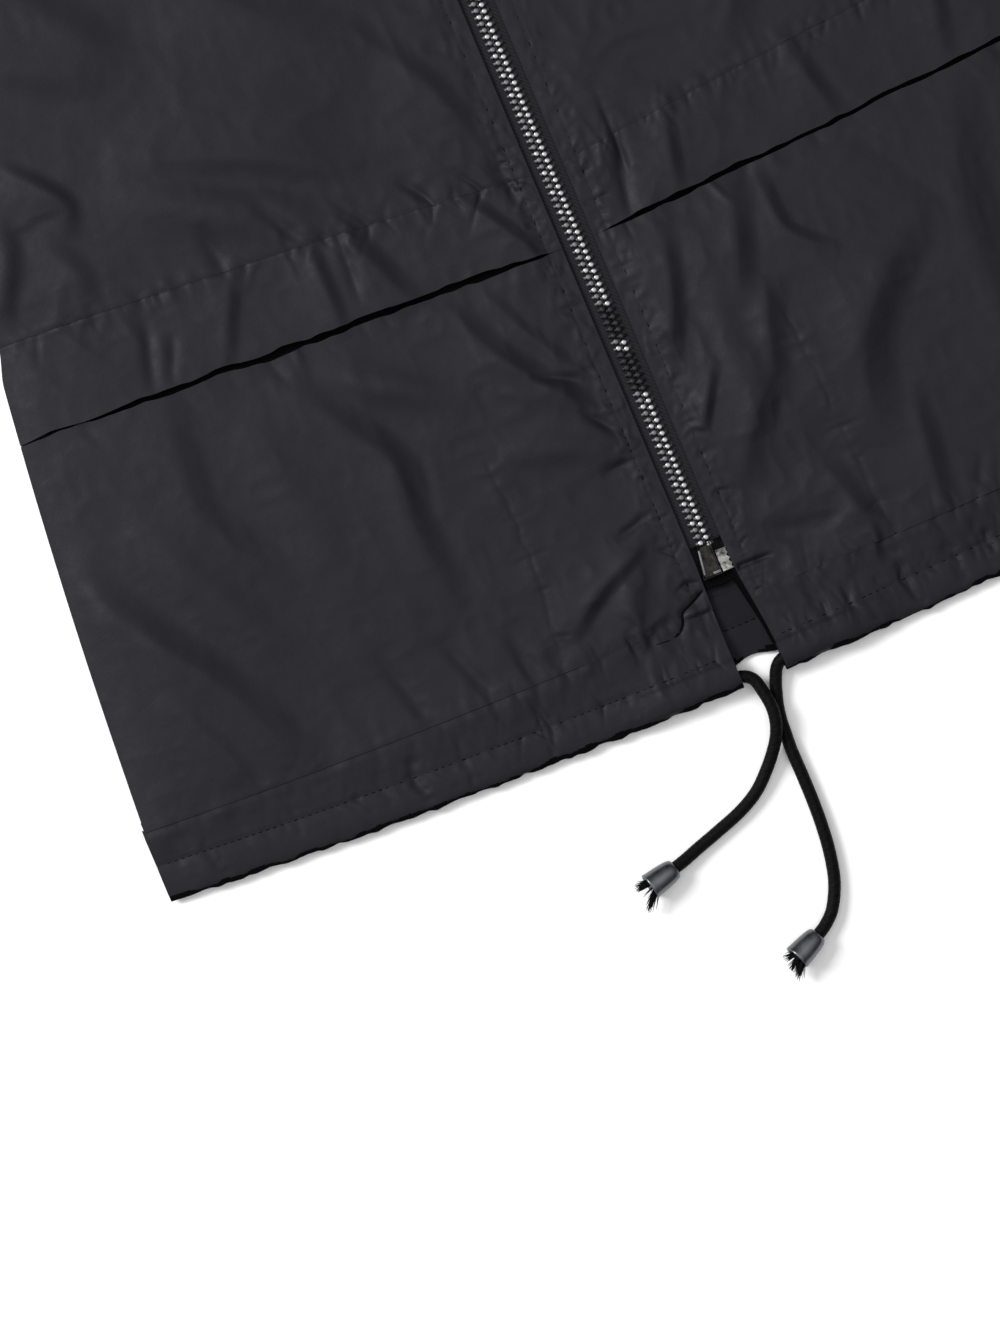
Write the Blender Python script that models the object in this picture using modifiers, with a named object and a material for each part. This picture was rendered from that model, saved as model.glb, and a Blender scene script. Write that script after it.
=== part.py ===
"""Rain jacket laid flat on its back, face up, zip closed, with the free ends of its hem drawcord.

x runs to the wearer's left, y from the hem to the collar, z up from the surface.
Sizes are metres unless a table says millimetres. Side +1 is the wearer's left, -1 the right.
"""
import bpy
import bmesh
from math import cos, exp, pi, radians, sin, sqrt
from mathutils import Matrix, Vector

for old in list(bpy.data.objects):
    bpy.data.objects.remove(old, do_unlink=True)

MM = 0.001
JACKET_MID = 0.37912         # from the hem to the middle of the jacket's length

# Cloth
WALL = 0.0012
THIN_WALL = 0.0010
COLLAR_WALL = 0.0014
SEAM = 0.0003                # between sewn pieces
FRONT_EDGE = 0.00215         # middle of the front's wall at the side seam
FRONT_LOFT = 0.0034          # how far the front stands higher inside

# Body
HEM_HALF = 0.278
HEM_RISE = 0.011
UNDERARM = 0.405
WAIST_SIDE = 0.2655          # waist seam at the side seam
SHOULDER_X, SHOULDER_Y = 0.235, 0.645
NECK_HALF, NECK_Y = 0.088, 0.690
FRONT_DROP, BACK_DROP = 0.080, 0.020
COLLAR_HEIGHT = 0.068
ZIP_EDGE = 0.0075            # front edge from the zip's middle
ZIP_FOOT = 0.065             # lowest tooth
GAP_EDGE = {1: 0.0117, -1: 0.0087}      # front corners at the hem
BACK_HEM = 0.0100            # back hem edge at the middle
BACK_BAND = 0.0410
BACK_BAND_WALL = 0.0020

# Side seam and armhole, as height and half width
SIDE_SEAM = ((0.000, 0.2775), (0.030, 0.2775), (0.137, 0.2700), (0.247, 0.2580),
             (0.268, 0.2530), (0.315, 0.2620), (0.405, 0.2680))
ARMHOLE = ((0.405, 0.2680), (0.450, 0.2490), (0.510, 0.2360), (0.580, 0.2310), (0.645, 0.2350))

ARMHOLE_STEPS = 6

# Pocket slit, as distance from the zip and opening
SLIT_OPENING = ((0.0075, 0.0003), (0.0150, 0.0012), (0.042, 0.0029), (0.065, 0.0041), (0.088, 0.0020),
                (0.135, 0.0029), (0.182, 0.0016), (0.205, 0.0025), (0.228, 0.0012), (0.262, 0.0016))

# Hem casing and drawcord
CASING_BASE = 0.0028         # middle of the turned-up layer
CORD_RADIUS = 0.00275
MOUTH_TOP, CHANNEL_TOP = 0.0103, 0.0076
GATHERS = 24                 # on each front

# Sleeve
CUFF_OUTER, CUFF_INNER = (0.708, 0.275), (0.634, 0.181)
SLEEVE_TOP = 0.0059

# Zip
CHAIN_WIDTH, CHAIN_THICK, CHAIN_MID = 0.0060, 0.0026, 0.0045
TAPE_MID, TAPE_OUT = 0.0039, 0.0130
SLIDER_Y = 0.658
PLATE_TOP = 0.0072
PULL_AXIS_Z = PLATE_TOP + 0.0012
PULL_REST = 4.0              # degrees that the tab leans down at rest

# Large folds in millimetres: start, end, bow sideways, width, rise (less than 0 is a trough)
FOLDS = (
    (-138, 202, -120, 150, 7, 8, -1.6), (-108, 150, -107, 83, -4, 9, -1.7),
    (-191, 212, -194, 159, -3, 8, -1.2), (-194, 159, -174, 127, -3, 8, -1.2),
    (-259, 169, -229, 112, -2, 8, -1.8), (-229, 112, -196, 46, 3, 8, -1.9),
    (-61, 205, -36, 159, -2, 7, -1.9), (-36, 159, -17, 127, 1, 6, -1.6),
    (-25, 73, -67, 49, 1, 6, -1.5), (-62, 134, -18, 120, 0, 9, 1.4),
    (-124, 196, -79, 166, 0, 8, 1.3), (-165, 190, -150, 110, 4, 12, 1.2), (-225, 160, -190, 90, 3, 11, 1.2),
    (38, 194, 19, 144, 3, 6, -1.4), (33, 132, 20, 111, 0, 5, -1.1), (58, 119, 31, 84, 0, 6, -1.4),
    (123, 153, 90, 74, -9, 14, -1.7), (69, 202, 59, 154, 0, 7, -1.4), (68, 72, 78, 36, 0, 5, -1.3),
    (110, 80, 107, 41, 0, 5, -1.2), (48, 190, 44, 110, 2, 8, 1.2), (180, 200, 165, 90, 5, 14, -1.4),
    (228, 190, 215, 70, -4, 12, 1.3),
    (-174, 302, -98, 258, 0, 12, 1.5), (-162, 310, -90, 276, 0, 7, -1.4),
    (-219, 337, -200, 305, 2, 6, -1.7), (-229, 314, -248, 271, 3, 6, -1.7),
    (-190, 246, -196, 225, 0, 4, -0.9), (-146, 250, -160, 222, 0, 5, -1.1), (-108, 252, -108, 218, 0, 5, -1.0),
    (-89, 248, -76, 217, 0, 5, -1.1), (-39, 249, -18, 214, 0, 5, -1.2),
    (60, 250, 52, 216, 0, 5, -1.0), (120, 254, 128, 220, 0, 6, -1.1), (190, 258, 184, 226, 0, 6, -1.0),
    (-120, 420, -60, 330, 9, 16, 1.6), (-200, 440, -150, 360, -8, 14, -1.5), (-60, 560, -110, 470, 6, 16, 1.4),
    (110, 430, 60, 330, -8, 15, 1.6), (190, 450, 150, 350, 9, 14, -1.5), (70, 570, 130, 480, -6, 16, 1.4),
)


def ease(t):
    t = max(0.0, min(1.0, t))
    return t * t * (3.0 - 2.0 * t)


def mix(a, b, t):
    return a + (b - a) * t


def along_table(rows, at):
    """Smooth value at a place in a table of place and value rows."""
    if at <= rows[0][0]:
        return rows[0][1]
    for i in range(len(rows) - 1):
        (a, va), (b, vb) = rows[i], rows[i + 1]
        if at <= b:
            before = rows[max(0, i - 1)]
            after = rows[min(len(rows) - 1, i + 2)]
            ta = (vb - before[1]) / (b - before[0]) * (b - a)
            tb = (after[1] - va) / (after[0] - a) * (b - a)
            t = (at - a) / (b - a)
            return (va * (1 + 2 * t) * (1 - t) ** 2 + ta * t * (1 - t) ** 2
                    + vb * t * t * (3 - 2 * t) - tb * t * t * (1 - t))
    return rows[-1][1]


def half_width(y):
    return along_table(SIDE_SEAM if y <= UNDERARM else ARMHOLE, y)


def armhole_edge(y):
    """Armhole as the body's panels have it, in straight stretches."""
    step = (SHOULDER_Y - UNDERARM) / ARMHOLE_STEPS
    low = UNDERARM + step * max(0, min(ARMHOLE_STEPS - 1, int((y - UNDERARM) / step + 1e-6)))
    return mix(half_width(low + 1e-9), half_width(low + step), (y - low) / step)


def hem_y(x):
    return HEM_RISE * (x / HEM_HALF) ** 2


def channel_height(x):
    return 0.0115 + 0.0045 * abs(x) / HEM_HALF


def casing_height(x):
    return 0.0365 - 0.0045 * abs(x) / HEM_HALF


def waist_y(x):
    return 0.242 + 0.023 * (abs(x) / 0.252) ** 0.8


def slit_y(x):
    return 0.208 + 0.013 * abs(x) / 0.257


def shoulder_y(x):
    return mix(NECK_Y, SHOULDER_Y, (abs(x) - NECK_HALF) / (SHOULDER_X - NECK_HALF))


def neck_y(x, drop):
    return NECK_Y - drop * sqrt(max(0.0, 1.0 - (x / NECK_HALF) ** 2))


def top_y(x, drop):
    return neck_y(x, drop) if abs(x) < NECK_HALF else shoulder_y(x)


def front_edge(side, y):
    """Front edge from the zip's middle: along the tape, then spread below the zip's foot."""
    return mix(GAP_EDGE[side], ZIP_EDGE, ease((y - 0.010) / 0.050))


def fold_rise(x, y):
    total = 0.0
    for x0, y0, x1, y1, bow, width, rise in FOLDS:
        dx, dy = x1 - x0, y1 - y0
        length = sqrt(dx * dx + dy * dy)
        px, py = x / MM - x0, y / MM - y0
        t = (px * dx + py * dy) / length ** 2
        off = (px * dy - py * dx) / length - bow * 4 * t * (1 - t)
        if -0.25 < t < 1.25 and abs(off) < 3 * width:
            total += rise * ease((t + 0.25) / 0.4) * ease((1.25 - t) / 0.4) * exp(-(off / width) ** 2)
    return total * MM


def front_height(x, y):
    """Middle of the front's wall: low at the side and shoulder seams, with the large folds."""
    inside = 1.0 - exp(-max(0.0, half_width(min(y, UNDERARM)) - abs(x)) / 0.018)
    inside = mix(inside, 1.0, ease((y - UNDERARM + 0.02) / 0.05))
    if abs(x) > 0.070:
        shut = 1.0 - exp(-max(0.0, shoulder_y(max(NECK_HALF, abs(x))) - y) / 0.020)
        inside *= mix(1.0, shut, ease((abs(x) - 0.070) / 0.025))
    low = FRONT_EDGE + 0.0020 * exp(-max(0.0, y - 0.040) / 0.025)
    folds = fold_rise(x, y) * inside * ease((abs(x) - 0.014) / 0.016) * ease((y - 0.040) / 0.015)
    return max(low, mix(low, FRONT_EDGE + FRONT_LOFT, inside) + folds)


def waist_pucker(x, y, step):
    """Gathers at the waist seam, fading away from it."""
    wave = 0.0008 * (1 if step % 2 else -1) * (0.6 + 0.4 * sin(x * 61.0))
    inside = ease((abs(x) - 0.016) / 0.02) * ease((half_width(y) - abs(x) - 0.004) / 0.03)
    return wave * exp(-abs(y - waist_y(x)) / 0.012) * inside


jacket = bpy.data.collections.new("rain_jacket")
cutters = bpy.data.collections.new("cutters")
for group in (jacket, cutters):
    bpy.context.scene.collection.children.link(group)
place = bpy.data.objects.new("jacket_place", None)
place.location = (0.0, -JACKET_MID, 0.0)
jacket.objects.link(place)


def finish(name, made, colour, metal=0.0, rough=0.6, group=jacket):
    """Link an object, with its own material, under the jacket's empty."""
    thing = made if isinstance(made, bpy.types.Object) else bpy.data.objects.new(name, made)
    thing.name = name
    if group is jacket:
        look = bpy.data.materials.new(name)
        look.use_nodes = True
        shader = look.node_tree.nodes["Principled BSDF"]
        shader.inputs["Base Color"].default_value = (*colour, 1.0)
        shader.inputs["Metallic"].default_value = metal
        shader.inputs["Roughness"].default_value = rough
        thing.data.materials.append(look)
    else:
        thing.hide_render = True
        thing.display_type = "WIRE"
    thing.parent = place
    group.objects.link(thing)
    return thing


NYLON = (0.026, 0.026, 0.030)
DARK = (0.012, 0.012, 0.014)
METAL = (0.200, 0.200, 0.210)


def panel(name, columns, rows, at, wall, colour=NYLON, around=False, offset=0.0):
    """A sheet of cloth: a grid laid out by a function of its two parts of the way, then thickened."""
    bm = bmesh.new()
    bmesh.ops.create_grid(bm, x_segments=columns, y_segments=rows, size=0.5)
    for vert in bm.verts:
        vert.co = Vector(at(vert.co.x + 0.5, vert.co.y + 0.5))
    if around:
        bmesh.ops.remove_doubles(bm, verts=bm.verts, dist=1e-6)
    mesh = bpy.data.meshes.new(name)
    bm.to_mesh(mesh)
    bm.free()
    sheet = finish(name, mesh, colour)
    thick = sheet.modifiers.new("thickness", "SOLIDIFY")
    thick.thickness = wall
    thick.offset = offset
    return sheet


def two_part(t, cut, a, b, c):
    """From a to b before the cut and from b to c after it."""
    return mix(a, b, t / cut) if t <= cut else mix(b, c, (t - cut) / (1.0 - cut))


# Back and its hem band
BACK_ROWS = 14


def back_low(x):
    return BACK_BAND + SEAM + 0.6 * hem_y(x)


def back_at(u, v):
    side = 2.0 * u - 1.0
    top_x = two_part(abs(side), 0.4, 0.0, NECK_HALF, SHOULDER_X)
    foot = back_low(half_width(0.048))
    level = two_part(v, 8 / BACK_ROWS, foot, UNDERARM, SHOULDER_Y)
    x = (1 if side > 0 else -1) * mix(abs(side) * half_width(level), top_x * half_width(level) / SHOULDER_X, v)
    return x, mix(back_low(x), top_y(top_x, BACK_DROP), (level - foot) / (SHOULDER_Y - foot)), WALL / 2


def back_band_at(u, v):
    x = (2.0 * u - 1.0) * (half_width(0.02) - 0.0006)
    return x, mix(BACK_HEM + 0.2 * hem_y(x), BACK_BAND + 0.6 * hem_y(x), v), BACK_BAND_WALL / 2


panel("back", 20, BACK_ROWS, back_at, WALL)
panel("hem_casing_back", 24, 2, back_band_at, BACK_BAND_WALL)

# Fronts
for side, word in ((1, "left"), (-1, "right")):

    def upper_at(u, v, side=side):
        underarm = (UNDERARM - WAIST_SIDE) / (SHOULDER_Y - WAIST_SIDE)
        rise = 0.24 * v if v <= 0.25 else two_part((v - 0.25) / 0.75, 0.5, 0.06, underarm, 1.0)
        level = mix(WAIST_SIDE, SHOULDER_Y, rise)
        top_x = two_part(u, 8 / 20, ZIP_EDGE, NECK_HALF, SHOULDER_X)
        foot_x = mix(ZIP_EDGE, half_width(level), u)
        x = side * mix(foot_x, top_x * mix(1.0, half_width(level) / SHOULDER_X, u), rise)
        low = waist_y(mix(ZIP_EDGE, half_width(WAIST_SIDE), u)) + SEAM / 2
        y = mix(low, top_y(top_x, FRONT_DROP), rise)
        return x, y, front_height(x, y) + waist_pucker(x, y, round(u * 20))

    def band_at(u, v, side=side):
        x = side * mix(ZIP_EDGE, half_width(mix(0.222, WAIST_SIDE, v)), u)
        low = slit_y(x) + along_table(SLIT_OPENING, abs(x)) / 2
        y = mix(low, waist_y(mix(ZIP_EDGE, half_width(WAIST_SIDE), u)) - SEAM / 2, v)
        lip = 0.0006 * (1.0 - v) ** 2 * ease((abs(x) - 0.015) / 0.02)
        return x, y, front_height(x, y) + lip + waist_pucker(x, y, round(u * 20))

    def facing_at(u, v, side=side):
        x = side * mix(0.0150, half_width(0.215) - 0.014, u)
        y = slit_y(x) + mix(-0.030, 0.020, v)
        return x, y, (WALL + front_height(x, y) - WALL / 2) / 2

    def lower_at(u, v, side=side):
        x = side * mix(front_edge(side, 0.04), half_width(0.04), u)
        low = hem_y(x) + casing_height(x) + SEAM
        x = side * mix(ZIP_EDGE, half_width(0.13), u)
        y = mix(low, slit_y(x) - along_table(SLIT_OPENING, abs(x)) / 2, v)
        x = side * mix(front_edge(side, y), half_width(y), u)
        lip = -0.0004 * max(0.0, v - 0.9) * 10 * ease((abs(x) - 0.015) / 0.02)
        lip *= ease((half_width(y) - abs(x) - 0.004) / 0.03)
        return x, y, front_height(x, y) + lip

    def casing_at(u, v, side=side):
        x = side * mix(GAP_EDGE[side], half_width(0.015), u)
        step = round(u * 2 * GATHERS)
        swell = (1 if step % 2 else -1) * (0.65 + 0.35 * sin(x * 97.0 + side)) * ease(u * 25) * ease((1 - u) * 9)
        channel, whole = channel_height(x), casing_height(x)
        shut = ease((1.0 - u) * 12.0)
        top = mix(CHANNEL_TOP, MOUTH_TOP, ease((0.28 - u) / 0.16)) * mix(0.72, 1.0, shut)
        pinch = CASING_BASE + THIN_WALL + SEAM + 0.00005
        seat = max(front_height(x, hem_y(x) + whole), pinch)
        sag = 0.0005 * swell if u > 0.15 else 0.0004 * max(0.0, swell)
        profile = ((0.90 * whole, CASING_BASE), (channel, CASING_BASE), (0.30 * channel, CASING_BASE),
                   (0.0004 * swell, mix(CASING_BASE, top, 0.42)), (0.10 * channel, mix(CASING_BASE, top, 0.86) + sag),
                   (0.40 * channel, top + sag), (0.74 * channel, mix(pinch, top, 0.78) + sag), (channel, pinch),
                   (mix(channel, whole, 0.5), seat + 0.0004 + sag), (whole, seat))
        rise, z = profile[round(v * (len(profile) - 1))]
        return x, hem_y(x) + rise, z

    panel("front_upper_" + word, 20, 16, upper_at, WALL)
    panel("pocket_band_" + word, 20, 3, band_at, WALL)
    panel("pocket_facing_" + word, 16, 2, facing_at, THIN_WALL, DARK)
    panel("front_lower_" + word, 20, 13, lower_at, WALL)
    panel("hem_casing_" + word, 2 * GATHERS, 9, casing_at, THIN_WALL)

    # Sleeve: a flattened tube from the armhole to the cuff
    def sleeve_at(u, v, side=side):
        turn = 2.0 * pi * u
        across = 0.5 - 0.5 * (1 if cos(turn) > 0 else -1) * abs(cos(turn)) ** 0.9
        level = mix(SHOULDER_Y, UNDERARM, across)
        start = Vector((armhole_edge(level) + 0.0010, level))
        end = Vector(CUFF_OUTER).lerp(Vector(CUFF_INNER), across)
        spot = start.lerp(end, v)
        thick = SLEEVE_TOP * (0.92 + 0.08 * sin(9.0 * v + 2.0 * side))
        half = 0.48 * thick
        bulge = abs(sin(turn)) ** 0.4
        z = half + (thick - half) * bulge if sin(turn) > 0 else max(0.0, half - 1.12 * half * bulge)
        wave = 0.0007 * sin(26.0 * v + 5.0 * across) * bulge if sin(turn) > 0 else 0.0
        return side * spot.x, spot.y, z + wave

    panel("sleeve_" + word, 16, 13, sleeve_at, 0.0011, around=True, offset=-1.0 if side > 0 else 1.0)

    # Zip tape under the front edge
    def tape_at(u, v, side=side):
        x = side * mix(CHAIN_WIDTH / 2 + 0.0002, TAPE_OUT, u)
        return x, mix(ZIP_FOOT, 0.674, v), TAPE_MID

    panel("zip_tape_" + word, 1, 12, tape_at, THIN_WALL, DARK)


# Collar: a stand band folded flat at both sides
def collar_at(u, v):
    side = -1 if u < 0.5 else 1
    step = round(28 * min(u, 1.0 - u))
    if step <= 8:
        x = mix(ZIP_EDGE, NECK_HALF, step / 8)
        y = neck_y(x, FRONT_DROP)
        z = mix(0.0031, FRONT_EDGE + FRONT_LOFT + 0.0001, ease((NECK_HALF - x) / 0.040))
    elif step == 9:
        x, y, z = NECK_HALF + 0.0010, NECK_Y, 0.0019
    else:
        x = NECK_HALF * (14 - step) / 4
        y = neck_y(x, BACK_DROP)
        z = COLLAR_WALL / 2
    return side * x * (1.0 - 0.07 * v), y + 0.0009 + COLLAR_HEIGHT * v, z


panel("collar", 28, 3, collar_at, COLLAR_WALL)

# Zip chain
panel("zip_chain", 2, 24, lambda u, v: ((u - 0.5) * (CHAIN_WIDTH - 0.0002),
                                        mix(ZIP_FOOT + 0.0003, SLIDER_Y - 0.0056, v), CHAIN_MID), CHAIN_THICK, METAL)


def block(name, size, centre, bevel, colour=METAL, metal=0.8):
    bm = bmesh.new()
    bmesh.ops.create_cube(bm, size=1.0)
    for vert in bm.verts:
        vert.co = Vector(centre) + Vector((vert.co.x * size[0], vert.co.y * size[1], vert.co.z * size[2]))
    mesh = bpy.data.meshes.new(name)
    bm.to_mesh(mesh)
    bm.free()
    made = finish(name, mesh, colour, metal, 0.4)
    edge = made.modifiers.new("rounded edges", "BEVEL")
    edge.width = bevel
    edge.segments = 2
    return made


block("zip_retainer_box", (0.0082, 0.0165, 0.0036), (-0.0029, 0.0565, 0.0044), 0.0007)
block("zip_insert_pin", (0.0050, 0.0145, 0.0032), (0.0040, 0.0575, 0.0044), 0.0008)

# Zip slider: a core between the tapes, a wider plate on it and a bridge for the pull tab
bm = bmesh.new()
bmesh.ops.create_cube(bm, size=1.0)
for vert in bm.verts:
    vert.co = Vector((vert.co.x * 0.0054, SLIDER_Y + vert.co.y * 0.0100, 0.0046 + vert.co.z * 0.0028))
cap = max(bm.faces, key=lambda face: face.calc_center_median().z)
spread = bmesh.ops.extrude_face_region(bm, geom=[cap])
bmesh.ops.delete(bm, geom=[cap], context="FACES_ONLY")
ring = [item for item in spread["geom"] if isinstance(item, bmesh.types.BMVert)]
for vert in ring:
    vert.co = Vector((vert.co.x * 1.63, SLIDER_Y + (vert.co.y - SLIDER_Y) * 1.1, vert.co.z))
    vert.co.z += 0.0001
cap = max(bm.faces, key=lambda face: face.calc_center_median().z)
spread = bmesh.ops.extrude_face_region(bm, geom=[cap])
bmesh.ops.delete(bm, geom=[cap], context="FACES_ONLY")
for item in spread["geom"]:
    if isinstance(item, bmesh.types.BMVert):
        item.co.z = PLATE_TOP
mesh = bpy.data.meshes.new("zip_slider")
bm.to_mesh(mesh)
bm.free()
slider = finish("zip_slider", mesh, METAL, 0.9, 0.35)


def tube(name, points, radius, sides, group=jacket, colour=DARK, metal=0.0):
    """A round cord or wire along points, with closed ends."""
    line = bpy.data.curves.new(name, "CURVE")
    line.dimensions = "3D"
    line.bevel_depth = radius
    line.bevel_resolution = sides
    line.use_fill_caps = True
    path = line.splines.new("POLY")
    path.points.add(len(points) - 1)
    for point, spot in zip(path.points, points):
        point.co = (*spot, 1.0)
    return finish(name, line, colour, metal, 0.8, group)


bridge = [(0.0, SLIDER_Y + 0.0042 * cos(pi * i / 8), PLATE_TOP - 0.0004 + 0.0034 * sin(pi * i / 8) ** 0.6)
          for i in range(9)]
arch = tube("bridge_shape", bridge, 0.00055, 2, cutters)
solid = bpy.data.meshes.new_from_object(arch.evaluated_get(bpy.context.evaluated_depsgraph_get()))
bm = bmesh.new()
bm.from_mesh(solid)
bmesh.ops.remove_doubles(bm, verts=bm.verts, dist=1e-7)
bm.to_mesh(solid)
bm.free()
bpy.data.objects.remove(arch, do_unlink=True)
arch = finish("bridge_solid", solid, METAL, group=cutters)
join = slider.modifiers.new("bridge", "BOOLEAN")
join.operation = "UNION"
join.solver = "EXACT"
join.object = arch

# Pull tab: a flat loop whose cross bar turns under the bridge
TAB_LENGTH, TAB_HALF, WINDOW_HALF, WINDOW_END = 0.0240, 0.0030, 0.0011, 0.0056
outline = bpy.data.curves.new("zip_pull_tab", "CURVE")
outline.dimensions = "2D"
outline.fill_mode = "BOTH"
outline.extrude = 0.0006
TAB_SHAPE = ((-0.0024, 0.00075), (0.0024, 0.00075), (0.0024, -0.0060), (TAB_HALF, -0.0085),
             (TAB_HALF, -TAB_LENGTH + 0.0020), (TAB_HALF - 0.0015, -TAB_LENGTH),
             (-TAB_HALF + 0.0015, -TAB_LENGTH), (-TAB_HALF, -TAB_LENGTH + 0.0020),
             (-TAB_HALF, -0.0085), (-0.0024, -0.0060))
WINDOW = ((-WINDOW_HALF, -0.00075), (WINDOW_HALF, -0.00075), (WINDOW_HALF, -WINDOW_END), (-WINDOW_HALF, -WINDOW_END))
for shape in (TAB_SHAPE, WINDOW):
    path = outline.splines.new("POLY")
    path.use_cyclic_u = True
    path.points.add(len(shape) - 1)
    for point, (x, y) in zip(path.points, shape):
        point.co = (x, y, 0.0, 1.0)
tab = finish("zip_pull_tab", outline, METAL, 0.9, 0.35)
tab.location = (0.0, SLIDER_Y, PULL_AXIS_Z)
tab.rotation_euler = (radians(PULL_REST), 0.0, 0.0)

# Drawcord ends in millimetres: across, along, height of the middle
CORD_PATHS = {
    "right": ((-32, 5.2, 6.5), (-22, 5.1, 6.5), (-13, 5.0, 6.5), (-7.2, 4.2, 6.6), (-3.4, 1.0, 6.8), (-1.8, -5.4, 7.6),
              (-1.0, -12.5, 8.4), (-1.7, -18.8, 8.3), (-3.6, -24.3, 7.4), (-6.8, -29.6, 5.9), (-12.5, -36.5, 4.3),
              (-21, -44.5, 3.2), (-31, -50, 3.05), (-43, -54.2, 3.05), (-55, -58, 3.3), (-62, -60.3, 4.1)),
    "left": ((35, 5.3, 6.5), (26, 5.2, 6.5), (17, 5.2, 6.5), (11.6, 4.9, 6.4), (8.0, 2.2, 5.2), (5.6, -2.6, 4.0),
             (3.8, -7.6, 3.2), (2.0, -13.7, 3.05), (0.9, -19.9, 3.05), (0.5, -26, 3.05), (0.0, -34, 3.05),
             (0.1, -46, 3.05), (0.0, -58, 3.05), (-0.6, -70, 3.05), (-2.2, -83, 3.05), (-5.2, -95, 3.05),
             (-10.5, -105.2, 3.4), (-16, -110.5, 4.1)),
}
BELL_LENGTH = 0.0140
BELL_FOOT = {"right": (-67.6, -61.8, 4.9), "left": (-21.0, -113.4, 4.9)}
BELL_WAY = {"right": (-14.3, -3.5, 2.0), "left": (-12.3, -5.3, 2.0)}
# Bell wall as radius and distance from its narrow end, in millimetres
BELL_WALL = ((3.7, 0.0), (4.5, 0.9), (5.1, 3.2), (5.6, 7.5), (5.9, 12.2), (6.05, 13.2), (6.0, 14.0),
             (5.2, 14.0), (5.0, 11.0), (4.7, 7.5), (4.1, 3.8), (3.1, 2.2), (3.1, 0.0))

for word in ("right", "left"):
    knots = [Vector(spot) * MM for spot in CORD_PATHS[word]]
    foot = Vector(BELL_FOOT[word]) * MM
    way = Vector(BELL_WAY[word]).normalized()
    knots += [foot, foot + way * 0.0050]
    smooth = []
    for i in range(len(knots) - 1):
        a, b = knots[i], knots[i + 1]
        pull_a = (b - knots[max(0, i - 1)]) / 2
        pull_b = (knots[min(len(knots) - 1, i + 2)] - a) / 2
        for t in (0.0, 0.5):
            smooth.append(a * (1 + 2 * t) * (1 - t) ** 2 + pull_a * t * (1 - t) ** 2
                          + b * t * t * (3 - 2 * t) - pull_b * t * t * (1 - t))
    smooth.append(knots[-1])
    tube("drawcord_" + word, smooth, CORD_RADIUS, 2)

    turn = way.to_track_quat("Z", "Y").to_matrix().to_4x4()
    mesh = bpy.data.meshes.new("cord_bell_" + word)
    points = [(radius * MM, 0.0, rise * MM) for radius, rise in BELL_WALL]
    mesh.from_pydata(points, [(i, (i + 1) % len(points)) for i in range(len(points))], [])
    bell = finish("cord_bell_" + word, mesh, METAL, 0.9, 0.3)
    spin = bell.modifiers.new("turned", "SCREW")
    spin.steps = spin.render_steps = 16
    spin.use_normal_flip = True
    spin.use_merge_vertices = True
    spin.merge_threshold = 1e-6
    bell.matrix_local = Matrix.Translation(foot) @ turn

    # Frayed end: strands drawn out of one round backing inside the bell
    bm = bmesh.new()
    bmesh.ops.create_cone(bm, segments=11, radius1=0.0032, radius2=0.0032, depth=0.0016, cap_ends=True, cap_tris=False)
    front = max(bm.faces, key=lambda face: face.calc_center_median().z)
    split = bmesh.ops.poke(bm, faces=[front])["faces"]
    bmesh.ops.inset_individual(bm, faces=split, thickness=0.0003)
    for reach, grow, size in ((0.0085, 1.35, 0.75), (0.0075, 1.45, 0.45)):
        split = bmesh.ops.extrude_discrete_faces(bm, faces=split)["faces"]
        for i, face in enumerate(split):
            middle = face.calc_center_median()
            shift = Vector((middle.x * (grow - 1), middle.y * (grow - 1), reach * (0.85 + 0.15 * sin(2.4 * i + len(word)))))
            for vert in face.verts:
                vert.co = middle + (vert.co - middle) * size + shift
    mesh = bpy.data.meshes.new("cord_tuft_" + word)
    bm.to_mesh(mesh)
    bm.free()
    tuft = finish("cord_tuft_" + word, mesh, DARK, 0.0, 0.9)
    tuft.matrix_local = Matrix.Translation(foot + way * 0.0064) @ turn
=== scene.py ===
# Rain jacket laid flat on its back, seen close on the hem, the foot of the zip and the drawcord ends.
# x runs to the wearer's left, y from the hem to the collar, z up. Side 1 is the wearer's left, -1 the right.
from functools import partial
from math import cos, pi, radians, sin
import bmesh
import bpy
import numpy as np
from mathutils import Matrix, Vector


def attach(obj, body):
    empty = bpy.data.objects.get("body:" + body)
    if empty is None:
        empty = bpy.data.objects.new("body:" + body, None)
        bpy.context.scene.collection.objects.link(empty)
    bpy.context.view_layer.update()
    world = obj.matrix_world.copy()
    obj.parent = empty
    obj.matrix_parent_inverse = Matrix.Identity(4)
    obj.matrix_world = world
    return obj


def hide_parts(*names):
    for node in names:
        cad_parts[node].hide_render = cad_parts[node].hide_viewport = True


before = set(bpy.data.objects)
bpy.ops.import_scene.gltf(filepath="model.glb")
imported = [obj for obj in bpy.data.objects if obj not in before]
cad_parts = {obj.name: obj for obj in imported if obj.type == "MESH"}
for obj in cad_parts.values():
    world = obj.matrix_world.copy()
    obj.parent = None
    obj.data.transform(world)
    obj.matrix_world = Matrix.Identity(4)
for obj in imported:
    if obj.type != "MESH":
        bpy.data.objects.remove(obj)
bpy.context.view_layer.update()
scene = bpy.context.scene
mm = 0.001
middleY = 0.37912        # the frame has y = 0 this far above the hem
print("frame loaded:", len(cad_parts), "nodes")

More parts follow.
